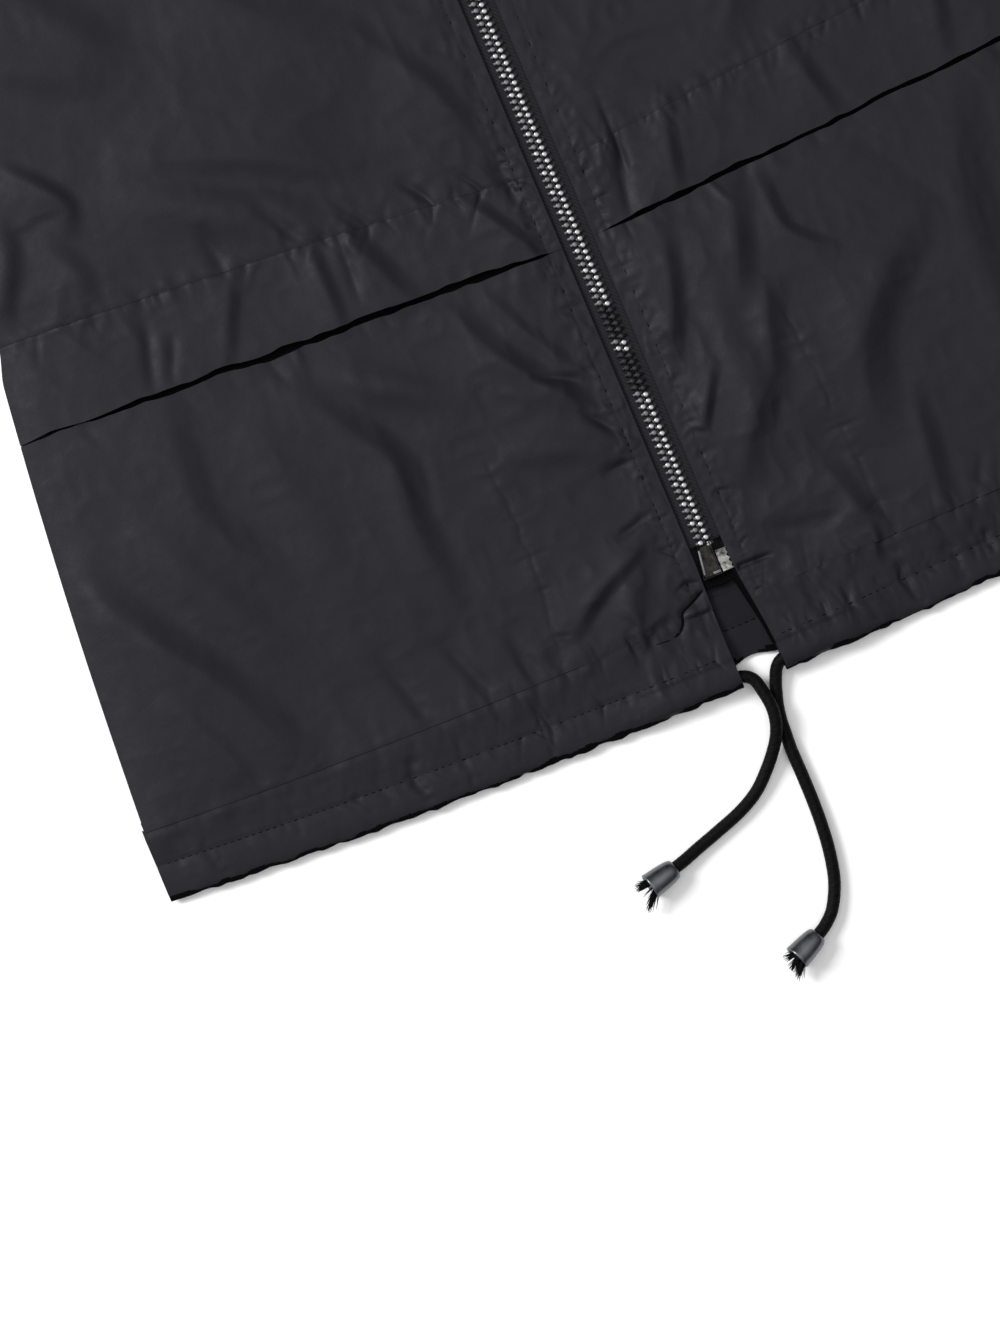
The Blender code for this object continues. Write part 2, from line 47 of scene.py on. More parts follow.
# Camera straight above, turned so that the hem climbs to the right as in the picture
cameraSet = {"spot": (-0.1041, -0.3293, 1.5055), "turn": -22.855, "lens": 92.07}
cameraData = bpy.data.cameras.new("camera")
cameraData.lens = cameraSet["lens"]
cameraData.sensor_width = 36.0
cameraData.clip_end = 50.0
camera = bpy.data.objects.new("camera", cameraData)
camera.location = cameraSet["spot"]
camera.rotation_euler = (0.0, 0.0, radians(cameraSet["turn"]))
scene.collection.objects.link(camera)
scene.camera = camera


def ease(t):
    t = np.clip(t, 0.0, 1.0)
    return t * t * (3.0 - 2.0 * t)


def mix(a, b, t):
    return a + (b - a) * t


def hermite(a, b, pullA, pullB, t):
    # from a to b, leaving and arriving with the given pulls
    return (a * (1 + 2 * t) * (1 - t) ** 2 + pullA * t * (1 - t) ** 2
            + b * t * t * (3 - 2 * t) - pullB * t * t * (1 - t))


def hump(off, half):
    # 1 on a line, dying away to both sides
    return np.exp(-(off / half) ** 2)


def fall(past, span):
    # 1 up to a line, dying away past it
    return np.exp(-np.maximum(0.0, past) / span)


def dense(u):
    # part of the way with finer steps at its start, beside the zip
    return u * (0.5 + 0.5 * u)


def alongTable(rows, at):
    # smooth value in a table of place and value rows
    place, value = np.array(rows, float).T
    at = np.clip(np.asarray(at, float), place[0], place[-1])
    i = np.clip(np.searchsorted(place, at, side="left") - 1, 0, len(place) - 2)
    before, after = np.maximum(i - 1, 0), np.minimum(i + 2, len(place) - 1)
    a, b, va, vb = place[i], place[i + 1], value[i], value[i + 1]
    pullA = (vb - value[before]) / (b - place[before]) * (b - a)
    pullB = (value[after] - va) / (place[after] - a) * (b - a)
    return hermite(va, vb, pullA, pullB, (at - a) / (b - a))


def lattice(x, y, size, seed):
    # smooth uneven field from -1 to 1, its lumps about the given size across
    table = np.random.default_rng(seed).random((97, 97)) * 2.0 - 1.0
    gx, gy = np.asarray(x) / size, np.asarray(y) / size
    ix, iy = np.floor(gx).astype(int), np.floor(gy).astype(int)
    fx, fy = ease(gx - ix), ease(gy - iy)
    low = mix(table[ix % 97, iy % 97], table[(ix + 1) % 97, iy % 97], fx)
    high = mix(table[ix % 97, (iy + 1) % 97], table[(ix + 1) % 97, (iy + 1) % 97], fx)
    return mix(low, high, fy)


def crinkle(x, y, size, seed):
    # sharp little creases, the way thin coated cloth breaks
    wander = 0.35 * size * lattice(x, y, 2.2 * size, seed + 40)
    return 1.0 - 2.0 * np.abs(lattice(x + wander, y - wander, size, seed))


def puckers(along, across, size, seed):
    # uneven waves along a sewn line
    drift = 0.8 * lattice(along, across, 3.1 * size, seed)
    strength = 0.6 + 0.4 * lattice(along, across * 0.4, 2.3 * size, seed + 1)
    return np.sin(2.0 * pi * (along / size + drift)) * strength


# Tucks along sewn lines, in metres: spacing, reach from the line, half width, rise, seed
tuckRows = {
    "waist": ((0.0075, 0.0130, 0.0019, 0.00055, 3), (0.0032, 0.0060, 0.0010, 0.00042, 6)),
    "placket": ((0.0036, 0.0050, 0.0009, 0.00052, 13),),
    "slit": ((0.0170, 0.0120, 0.0021, 0.00048, 19),),
    "casingTop": ((0.0085, 0.0130, 0.0018, 0.00055, 23), (0.0047, 0.0070, 0.0011, 0.00034, 26)),
    "bag": ((0.0060, 0.0060, 0.0014, 0.00034, 71),),
    "channel": ((0.0066, 0.0120, 0.0023, 0.00066, 91), (0.0046, 0.0070, 0.0014, 0.00036, 94),
                (0.0062, 0.0100, 0.0010, 0.00042, 99)),
}


def tuckRow(run, away, spacing, reach, wide, high, seed):
    # short creases that leave a sewn line at uneven steps: run is along it, away from it
    dice = np.random.default_rng(seed)
    total = np.zeros(run.shape)
    at = -0.02
    while at < 0.72:
        at += spacing * dice.uniform(0.45, 1.6)
        slant, length = 0.35 * dice.normal(), reach * dice.uniform(0.4, 1.5)
        width, rise = wide * dice.uniform(0.6, 1.6), high * np.clip(dice.normal(), -1.8, 1.8)
        near = (np.abs(run - at) < 4.0 * width + 1.2 * length) & (away < 1.4 * length)
        if near.any():
            off = run[near] - at - slant * away[near]
            total[near] += rise * hump(off, width) * ease(1.35 - away[near] / length)
    return total


def seamTucks(seam, run, away, turn=0):
    return sum(tuckRow(run, away, *row[:4], row[4] + turn) for row in tuckRows[seam])


def smoothLine(points, steps):
    # points along one smooth curve through the given ones
    points = np.array(points, float)
    made = []
    for i in range(len(points) - 1):
        a, b = points[i], points[i + 1]
        pullA = (b - points[max(0, i - 1)]) / 2
        pullB = (points[min(len(points) - 1, i + 2)] - a) / 2
        made += [hermite(a, b, pullA, pullB, k / steps) for k in range(steps)]
    made.append(points[-1])
    return np.array(made)


def evenLine(points, step):
    # the same curve with points an even step apart
    run = np.concatenate(([0.0], np.cumsum(np.linalg.norm(np.diff(points, axis=0), axis=1))))
    at = np.linspace(0.0, run[-1], int(round(run[-1] / step)) + 1)
    return np.column_stack([np.interp(at, run, points[:, k]) for k in range(points.shape[1])]), run[-1]


# Materials
def srgb(text):
    parts = [int(text[i:i + 2], 16) / 255.0 for i in (1, 3, 5)]
    return (*[p / 12.92 if p <= 0.04045 else ((p + 0.055) / 1.055) ** 2.4 for p in parts], 1.0)


def addNode(tree, kind, values=None, links=None, **settings):
    made = tree.nodes.new(kind)
    for key, value in settings.items():
        setattr(made, key, value)
    for key, value in (values or {}).items():
        made.inputs[key].default_value = value
    for key, socket in (links or {}).items():
        tree.links.new(socket, made.inputs[key])
    return made


def newMaterial(name, **constants):
    made = bpy.data.materials.new(name)
    made.use_nodes = True
    shader = made.node_tree.nodes["Principled BSDF"]
    for key, value in constants.items():
        shader.inputs[key.replace("_", " ")].default_value = value
    return made, made.node_tree, shader


waveSpan = 0.314         # a wave texture's bands are this far apart at scale 1


def ribs(tree, place, period, direction, distortion, detail):
    return addNode(tree, "ShaderNodeTexWave", {"Scale": waveSpan / period, "Distortion": distortion, "Detail": detail},
                   {"Vector": place}, bands_direction=direction).outputs["Fac"]


def speckle(tree, place, size, detail, **more):
    return addNode(tree, "ShaderNodeTexNoise", {"Scale": 1 / size, "Detail": detail, **more}, {"Vector": place}).outputs["Fac"]


def objectPlace(tree):
    return addNode(tree, "ShaderNodeTexCoord").outputs["Object"]


def tint(shader, dark, light, share):
    # base colour between two shades
    tree = shader.id_data
    shade = addNode(tree, "ShaderNodeMix", {"A": srgb(dark), "B": srgb(light)}, {"Factor": share}, data_type="RGBA")
    tree.links.new(shade.outputs["Result"], shader.inputs["Base Color"])


def roughen(shader, low, high, share):
    # roughness between two levels
    tree = shader.id_data
    level = addNode(tree, "ShaderNodeMapRange", {"From Min": 0.3, "From Max": 0.7, "To Min": low, "To Max": high},
                    {"Value": share})
    tree.links.new(level.outputs["Result"], shader.inputs["Roughness"])


def emboss(shader, strength, distance, height, **under):
    # relief, on top of another where one is given
    tree = shader.id_data
    relief = addNode(tree, "ShaderNodeBump", {"Strength": strength, "Distance": distance}, {"Height": height, **under})
    tree.links.new(relief.outputs["Normal"], shader.inputs["Normal"])
    return relief.outputs["Normal"]


# Nylon taffeta with a water-repellent coat: a charcoal cloth with a soft sheen that breaks at each small crease.
# Its threads are 0.2 mm apart, too fine for the picture, so they are drawn 1.1 mm apart and faint.
def nylonTaffeta(name, dark, light, level, rough):
    made, tree, shader = newMaterial(name, Specular_IOR_Level=level, IOR=1.53, Specular_Tint=(0.96, 0.93, 1.0, 1.0))
    place = objectPlace(tree)
    warp, weft = (ribs(tree, place, 0.0011, way, 0.6, 1.0) for way in "XY")
    weave = addNode(tree, "ShaderNodeMath", {}, {0: warp, 1: weft}, operation="MULTIPLY").outputs[0]
    fine = speckle(tree, place, 0.0045, 4.0, Roughness=0.6, Distortion=0.4)
    tint(shader, dark, light, speckle(tree, place, 0.045, 3.0, Roughness=0.55))
    roughen(shader, rough - 0.05, rough + 0.06, fine)
    emboss(shader, 0.22, 0.0006, fine, Normal=emboss(shader, 0.10, 0.0002, weave))
    return made


nylon = nylonTaffeta("nylonTaffetaCoated", "#19181c", "#1e1d21", 0.13, 0.54)
# two layers of it, painted a shade darker as shade along the hem
nylonCasing = nylonTaffeta("nylonTaffetaDoubledPaintedShade", "#18171b", "#1d1c20", 0.12, 0.56)
# dull inner face of the same cloth, and that of the turned-up back hem
nylonReverse = nylonTaffeta("nylonTaffetaReverse", "#161518", "#1a191d", 0.06, 0.60)
nylonHem = nylonTaffeta("nylonTaffetaHemReverse", "#161518", "#1a191d", 0.08, 0.60)
# painted shade: near-black, dull cloth on the under-roll of edges and the bottom of hard folds, where shade falls
nylonShadePainted = nylonTaffeta("nylonTaffetaPaintedShade", "#050506", "#08080a", 0.03, 0.85)


# Matt cloth and yarn: no shine, fine slanting ribs
def mattCloth(name, dark, light, period, level):
    made, tree, shader = newMaterial(name, Specular_IOR_Level=level, Roughness=0.92, IOR=1.5)
    rib = ribs(tree, objectPlace(tree), period, "DIAGONAL", 0.8, 2.0)
    tint(shader, dark, light, rib)
    emboss(shader, 0.35, 0.0002, rib)
    return made


pocketingAndShade = mattCloth("cottonPocketingAndPaintedShade", "#030304", "#060607", 0.0012, 0.05)     # black pocket lining seen only through gaps, darkened there as painted shade, and also painted shade under the zip's foot
tapeWeave = mattCloth("polyesterZipTape", "#1a1a1d", "#222125", 0.0010, 0.12)     # its herringbone reads as ribs
sewingThread = mattCloth("polyesterSewingThread", "#060607", "#0a0a0b", 0.0005, 0.06)     # a dark dotted line
frayedYarn = mattCloth("frayedPolyesterYarn", "#060607", "#0d0d0e", 0.0006, 0.15)     # a black brush


# Braided polyester cord: black, its plaited strands show as short slanting ribs
def braidedCord():
    made, tree, shader = newMaterial("braidedPolyesterCord", Specular_IOR_Level=0.07, Roughness=0.60, IOR=1.5,
                                     Sheen_Weight=0.02, Sheen_Roughness=0.5)
    place = addNode(tree, "ShaderNodeUVMap", uv_map="braid").outputs["UV"]
    strands, fibre = ribs(tree, place, 0.125, "DIAGONAL", 0.3, 1.0), speckle(tree, place, 1 / 26, 3.0)
    both = addNode(tree, "ShaderNodeMath", {}, {0: strands, 1: fibre}, operation="MULTIPLY").outputs[0]
    tint(shader, "#030304", "#0b0b0c", both)
    emboss(shader, 0.4, 0.0002, both)
    return made


cordBraid = braidedCord()


# Plated metal: tumbled, then plated, so it is smooth with faint handling marks. Blotch parts its two shades.
def platedMetal(name, dull, bright, rough, grain, blotch=0.0):
    made, tree, shader = newMaterial(name, Metallic=1.0)
    marks = speckle(tree, objectPlace(tree), grain, 4.0, Roughness=0.6)
    share = addNode(tree, "ShaderNodeMapRange", {"From Min": 0.45 * blotch, "From Max": 1.0 - 0.45 * blotch},
                    {"Value": marks})
    tint(shader, dull, bright, share.outputs["Result"])
    roughen(shader, rough - 0.06, rough + 0.08, marks)
    emboss(shader, 0.12, 0.0001, marks)
    return made


nickelTeeth = platedMetal("nickelPlatedBrass", "#8e8e91", "#c6c6c8", 0.40, 0.0014)     # bright heads
nickelShadeHighlightPainted = platedMetal("paintedShadeAndHighlightNickelPlate", "#545457", "#868689", 0.52, 0.0014)     # a duller grey: painted shade on the bars and some heads, painted highlight on the box's rim and lip
nickelShadePainted = platedMetal("paintedShadeNickelPlate", "#242426", "#444447", 0.58, 0.0014)     # nearly as dark as the tape: painted shade on a stretch of the chain
blotchedNickel = platedMetal("blotchedNickelPlate", "#232322", "#a2a29e", 0.46, 0.0026, 0.75)     # half worn away
gunmetal = platedMetal("blackNickelZinc", "#5c5d60", "#707175", 0.32, 0.0030)     # grey bells with a soft gleam
darkEnamel = platedMetal("blackEnamelledZinc", "#111110", "#3a3936", 0.42, 0.0024, 0.6)     # chipped black
print("materials made")


# Pieces
def addPiece(name, mesh, finish):
    piece = bpy.data.objects.new(name, mesh)
    scene.collection.objects.link(piece)
    mesh.materials.append(finish)
    mesh.polygons.foreach_set("use_smooth", np.ones(len(mesh.polygons), bool))
    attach(piece, "jacket")
    return piece


def addWall(piece, thickness, offset=0.0):
    wall = piece.modifiers.new("wall", "SOLIDIFY")
    wall.thickness = thickness
    wall.offset = offset


def aimed(spot, way, axis="Z", up="Y"):
    # placement at a spot with one axis along the way
    return Matrix.Translation(spot) @ way.to_track_quat(axis, up).to_matrix().to_4x4()


def meshFrom(bm, name):
    mesh = bpy.data.meshes.new(name)
    bm.to_mesh(mesh)
    bm.free()
    return mesh


def layGrid(name, columns, rows, lay):
    # a grid laid out by a function of its two parts of the way
    bm = bmesh.new()
    bmesh.ops.create_grid(bm, x_segments=columns, y_segments=rows, size=0.5)
    mesh = meshFrom(bm, name)
    flat = np.empty(len(mesh.vertices) * 3)
    mesh.vertices.foreach_get("co", flat)
    part = flat.reshape(-1, 3)[:, :2] + 0.5
    x, y, z = lay(part[:, 0], part[:, 1])
    mesh.vertices.foreach_set("co", np.column_stack((x, y - middleY, z)).ravel())
    mesh.update()
    return mesh


# Drawcord ends: route of the middle in millimetres from the hem's centre, the same as the frame's
cordSet = {"radius": 0.00275, "girth": 0.0173, "sides": 32, "step": 0.0006, "strands": 8, "pitch": 0.0085,
           "relief": 0.00013, "mouthX": {"right": -0.0087, "left": 0.0117}, "mouthY": 0.0048, "mouthZ": 0.0065,
           "length": {"right": 0.139, "left": 0.157}}
cordRoutes = {
    "right": ((-32, 5.2, 6.5), (-22, 5.1, 6.5), (-13, 5.0, 6.5), (-7.2, 4.2, 6.6), (-3.4, 1.0, 6.8), (-1.8, -5.4, 7.6),
              (-1.0, -12.5, 8.4), (-1.7, -18.8, 8.3), (-3.6, -24.3, 7.4), (-6.8, -29.6, 5.9), (-12.5, -36.5, 4.3),
              (-21, -44.5, 3.2), (-31, -50, 3.05), (-43, -54.2, 3.05), (-55, -58, 3.3), (-62, -60.3, 4.1)),
    "left": ((35, 5.3, 6.5), (26, 5.2, 6.5), (17, 5.2, 6.5), (11.6, 4.9, 6.4), (8.0, 2.2, 5.2), (5.6, -2.6, 4.0),
             (3.8, -7.6, 3.2), (2.0, -13.7, 3.05), (0.9, -19.9, 3.05), (0.5, -26, 3.05), (0.0, -34, 3.05),
             (0.1, -46, 3.05), (0.0, -58, 3.05), (-0.6, -70, 3.05), (-2.2, -83, 3.05), (-5.2, -95, 3.05),
             (-10.5, -105.2, 3.4), (-16, -110.5, 4.1)),
}
bellSet = {
    "foot": {"right": (-67.6, -61.8, 4.9), "left": (-21.0, -113.4, 4.9)},
    "way": {"right": (-14.3, -3.5, 2.0), "left": (-12.3, -5.3, 2.0)},
    # wall as radius and distance from the narrow end, in millimetres
    "wall": ((3.1, 2.2), (3.1, 0.5), (3.3, 0.0), (3.7, 0.0), (4.2, 0.35), (4.5, 0.9), (4.85, 1.9), (5.1, 3.2), (5.4, 5.4),
             (5.6, 7.5), (5.78, 10.0), (5.9, 12.2), (6.02, 12.9), (6.07, 13.4), (6.0, 13.85), (5.75, 14.0), (5.4, 14.0),
             (5.2, 13.8), (5.0, 11.0), (4.7, 7.5), (4.1, 3.8)),
    "steps": 56,
}
tuftSet = {"strands": 126, "clumps": 6, "spread": 0.62, "lift": 0.28, "reach": (0.0070, 0.0100), "radius": 0.00036,
           "sides": 5, "loose": 0.16, "looser": 0.6, "root": 0.0078, "rootWide": 0.0032, "rootHigh": 0.0026, "lowest": 0.0006}
backingSet = {"at": 0.0070, "radius1": 0.0031, "radius2": 0.0040, "depth": 0.0030, "segments": 20}


def cordTube(word):
    foot = np.array(bellSet["foot"][word])
    way = np.array(bellSet["way"][word]) / np.linalg.norm(bellSet["way"][word])
    knots = list(cordRoutes[word]) + [foot, foot + 5.0 * way]
    line, length = evenLine(smoothLine(knots, 12) * mm, cordSet["step"])
    line[:, 1] -= middleY
    ahead = np.gradient(line, axis=0)
    ahead /= np.linalg.norm(ahead, axis=1)[:, None]
    across = np.cross(ahead, (0.0, 0.0, 1.0))
    across /= np.linalg.norm(across, axis=1)[:, None]
    upward = np.cross(across, ahead)
    bm = bmesh.new()
    uvs = bm.loops.layers.uv.new("braid")
    bmesh.ops.create_grid(bm, x_segments=cordSet["sides"], y_segments=len(line) - 1, size=0.5)
    for face in bm.faces:
        for loop in face.loops:
            loop[uvs].uv = (loop.vert.co.x + 0.5, (loop.vert.co.y + 0.5) * length / cordSet["girth"])
    for vert in bm.verts:
        turn = 2.0 * pi * (vert.co.x + 0.5)
        k = int(round((vert.co.y + 0.5) * (len(line) - 1)))
        run = k * cordSet["step"] / cordSet["pitch"]
        plait = max(sin(cordSet["strands"] * (turn / 2 + pi * run)),
                    sin(cordSet["strands"] * (turn / 2 - pi * run) + 0.8))
        radius = cordSet["radius"] + cordSet["relief"] * (plait - 0.45)
        vert.co = Vector(line[k]) + radius * (cos(turn) * Vector(across[k]) + sin(turn) * Vector(upward[k]))
    bmesh.ops.remove_doubles(bm, verts=bm.verts, dist=1e-7)
    bmesh.ops.holes_fill(bm, edges=[e for e in bm.edges if e.is_boundary], sides=0)
    bmesh.ops.recalc_face_normals(bm, faces=bm.faces)
    return meshFrom(bm, "drawcord_" + word), line, length


def bellFoot(word):
    return Vector(bellSet["foot"][word]) * mm - Vector((0.0, middleY, 0.0))


def cordBell(word):
    bm = bmesh.new()
    ring = [bm.verts.new((radius * mm, 0.0, rise * mm)) for radius, rise in bellSet["wall"]]
    edges = [bm.edges.new((ring[i], ring[(i + 1) % len(ring)])) for i in range(len(ring))]
    bmesh.ops.spin(bm, geom=ring + edges, cent=(0, 0, 0), axis=(0, 0, 1), angle=2 * pi, steps=bellSet["steps"],
                   use_merge=True)
    bmesh.ops.remove_doubles(bm, verts=bm.verts, dist=1e-7)
    bmesh.ops.recalc_face_normals(bm, faces=bm.faces)
    bmesh.ops.transform(bm, matrix=aimed(bellFoot(word), Vector(bellSet["way"][word])), verts=bm.verts)
    return meshFrom(bm, "bell_" + word)


def strandBetween(bm, a, b, thickA, thickB):
    # a thin tapered stick from a to b
    bmesh.ops.create_cone(bm, segments=tuftSet["sides"], radius1=thickA, radius2=thickB, depth=(b - a).length,
                          cap_ends=True, matrix=aimed((a + b) / 2, b - a))


def cordTuft(word, seed):
    dice = np.random.default_rng(seed)
    foot = bellFoot(word)
    way = Vector(bellSet["way"][word]).normalized()
    sideways = way.cross(Vector((0, 0, 1))).normalized()
    upward = sideways.cross(way)
    bm = bmesh.new()
    # a round backing holds the yarns inside the bell
    bmesh.ops.create_cone(bm, cap_ends=True, matrix=aimed(foot + way * backingSet["at"], way),
                          **{key: backingSet[key] for key in ("segments", "radius1", "radius2", "depth")})
    clumps = [(dice.uniform(-1, 1), dice.uniform(-0.45, 0.75), dice.uniform(0.8, 1.0)) for k in range(tuftSet["clumps"])]
    for k in range(tuftSet["strands"]):
        lean = clumps[k % len(clumps)]
        loose = tuftSet["loose"] if k % 9 else tuftSet["looser"]
        out = tuftSet["spread"] * (lean[0] + dice.normal() * loose * 0.6)
        lift = tuftSet["lift"] * (lean[1] + dice.normal() * loose * 0.6)
        reach = dice.uniform(*tuftSet["reach"]) * lean[2]
        start = (foot + way * tuftSet["root"] + sideways * tuftSet["rootWide"] * np.clip(out, -0.9, 0.9)
                 + upward * tuftSet["rootHigh"] * np.clip(lift * 3, -1, 1))
        middle = start + (way + sideways * out * 0.6 + upward * lift * 0.5) * reach * 0.8
        end = middle + (way + sideways * out * 1.2 + upward * (lift * 0.4 - 0.05)) * reach * 0.55
        for spot in (middle, end):
            spot.z = max(spot.z, tuftSet["lowest"])
        thick = tuftSet["radius"] * dice.uniform(0.7, 1.25)
        strandBetween(bm, start, middle, thick, thick * 0.85)
        strandBetween(bm, middle, end, thick * 0.85, thick * 0.25)
    return meshFrom(bm, "tuft_" + word)


for word, seed in (("right", 11), ("left", 23)):
    mesh, line, length = cordTube(word)
    cord = addPiece("drawcord_end_" + word, mesh, cordBraid)
    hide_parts("drawcord_" + word)
    bell = addPiece("cord_bell_shell_" + word, cordBell(word), gunmetal)
    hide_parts("cord_bell_" + word)
    tuft = addPiece("cord_tuft_yarn_" + word, cordTuft(word, seed), frayedYarn)
    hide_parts("cord_tuft_" + word)
    print("drawcord", word, round(length, 4), "m")

# Cut of the jacket, in metres, the same as the frame's
cut = {
    "hemHalf": 0.278, "hemRise": 0.011, "underarm": 0.405, "waistSide": 0.2655,
    "shoulderX": 0.235, "shoulderY": 0.645, "neckHalf": 0.088, "neckY": 0.690, "frontDrop": 0.080, "backDrop": 0.020,
    "collarHeight": 0.068, "zipEdge": 0.0075, "zipFoot": 0.065, "gapEdge": {1: 0.0117, -1: 0.0087},
    "backHem": 0.0100, "backBand": 0.0410, "backSewn": 0.0257, "placketSewn": 0.0142, "casingY": 0.015,
    "frontEdge": 0.00215, "frontLoft": 0.0034, "wall": 0.0007,
    "sideSeam": ((0.000, 0.2775), (0.030, 0.2775), (0.137, 0.2700), (0.247, 0.2580),
                 (0.268, 0.2530), (0.315, 0.2620), (0.405, 0.2680)),
    "armhole": ((0.405, 0.2680), (0.450, 0.2490), (0.510, 0.2360), (0.580, 0.2310), (0.645, 0.2350)),
    "slit": ((0.0075, 0.0002), (0.0130, 0.0003), (0.0185, 0.0017), (0.042, 0.0028), (0.065, 0.0033), (0.088, 0.0027),
             (0.135, 0.0030), (0.182, 0.0026), (0.205, 0.0027), (0.228, 0.0022), (0.250, 0.0014), (0.262, 0.0010)),
    "slitShare": {1: 0.75, -1: 1.0},
}


def halfWidth(y):
    y = np.asarray(y, float)
    return np.where(y <= cut["underarm"], alongTable(cut["sideSeam"], y), alongTable(cut["armhole"], y))


def hemY(x):
    return cut["hemRise"] * (x / cut["hemHalf"]) ** 2


def channelHeight(x):
    return 0.0152 + 0.0010 * np.abs(x) / cut["hemHalf"]


def casingHeight(x):
    return 0.0365 - 0.0045 * np.abs(x) / cut["hemHalf"]


def waistY(x):
    return 0.242 + 0.023 * (np.abs(x) / 0.252) ** 0.8


def slitY(x):
    ax = np.abs(x)
    return 0.208 + 0.013 * ax / 0.257 + 0.0006 * lattice(x, 0.0, 0.019, 47) * ease((ax - 0.014) / 0.02)


def slitOpen(x, side, seed):
    # half the opening, each lip ragged in its own way
    ax = np.abs(x)
    ragged = 0.40 * lattice(x, 0.0, 0.0060, seed) + 0.30 * lattice(x, 0.0, 0.0150, seed + 1)
    return alongTable(cut["slit"], ax) / 2 * cut["slitShare"][side] * (1.0 + ragged * ease((ax - 0.014) / 0.01))


def shoulderLine(x):
    return mix(cut["neckY"], cut["shoulderY"], (np.abs(x) - cut["neckHalf"]) / (cut["shoulderX"] - cut["neckHalf"]))


def neckLine(x, drop):
    return cut["neckY"] - drop * np.sqrt(np.maximum(0.0, 1.0 - (x / cut["neckHalf"]) ** 2))


def topLine(x, drop):
    return np.where(np.abs(x) < cut["neckHalf"], neckLine(x, drop), shoulderLine(x))


def frontEdge(side, y):
    return mix(cut["gapEdge"][side], cut["zipEdge"], ease((y - 0.010) / 0.050))


def twoPart(t, at, a, b, c):
    return np.where(t <= at, mix(a, b, t / at), mix(b, c, (t - at) / (1.0 - at)))


def insideShare(x, y):
    # 0 on the side and shoulder seams, 1 well inside the front
    inside = 1.0 - fall(halfWidth(np.minimum(y, cut["underarm"])) - np.abs(x), 0.018)
    inside = mix(inside, 1.0, ease((y - cut["underarm"] + 0.02) / 0.05))
    shut = 1.0 - fall(shoulderLine(np.maximum(cut["neckHalf"], np.abs(x))) - y, 0.020)
    return inside * mix(1.0, shut, ease((np.abs(x) - 0.070) / 0.025))


def baseHeight(x, y):
    low = cut["frontEdge"] + 0.0020 * fall(y - 0.040, 0.025)
    # the right front hangs lower beside the gap
    sag = 0.0015 * ease((x + 0.040) / 0.030) * (x < 0.0) * ease((0.058 - y) / 0.012)
    return np.maximum(low - 0.5 * sag, mix(low, cut["frontEdge"] + cut["frontLoft"], insideShare(x, y)) - sag)


creaseSet = {"gain": {1: 2.4, -1: 2.0}}
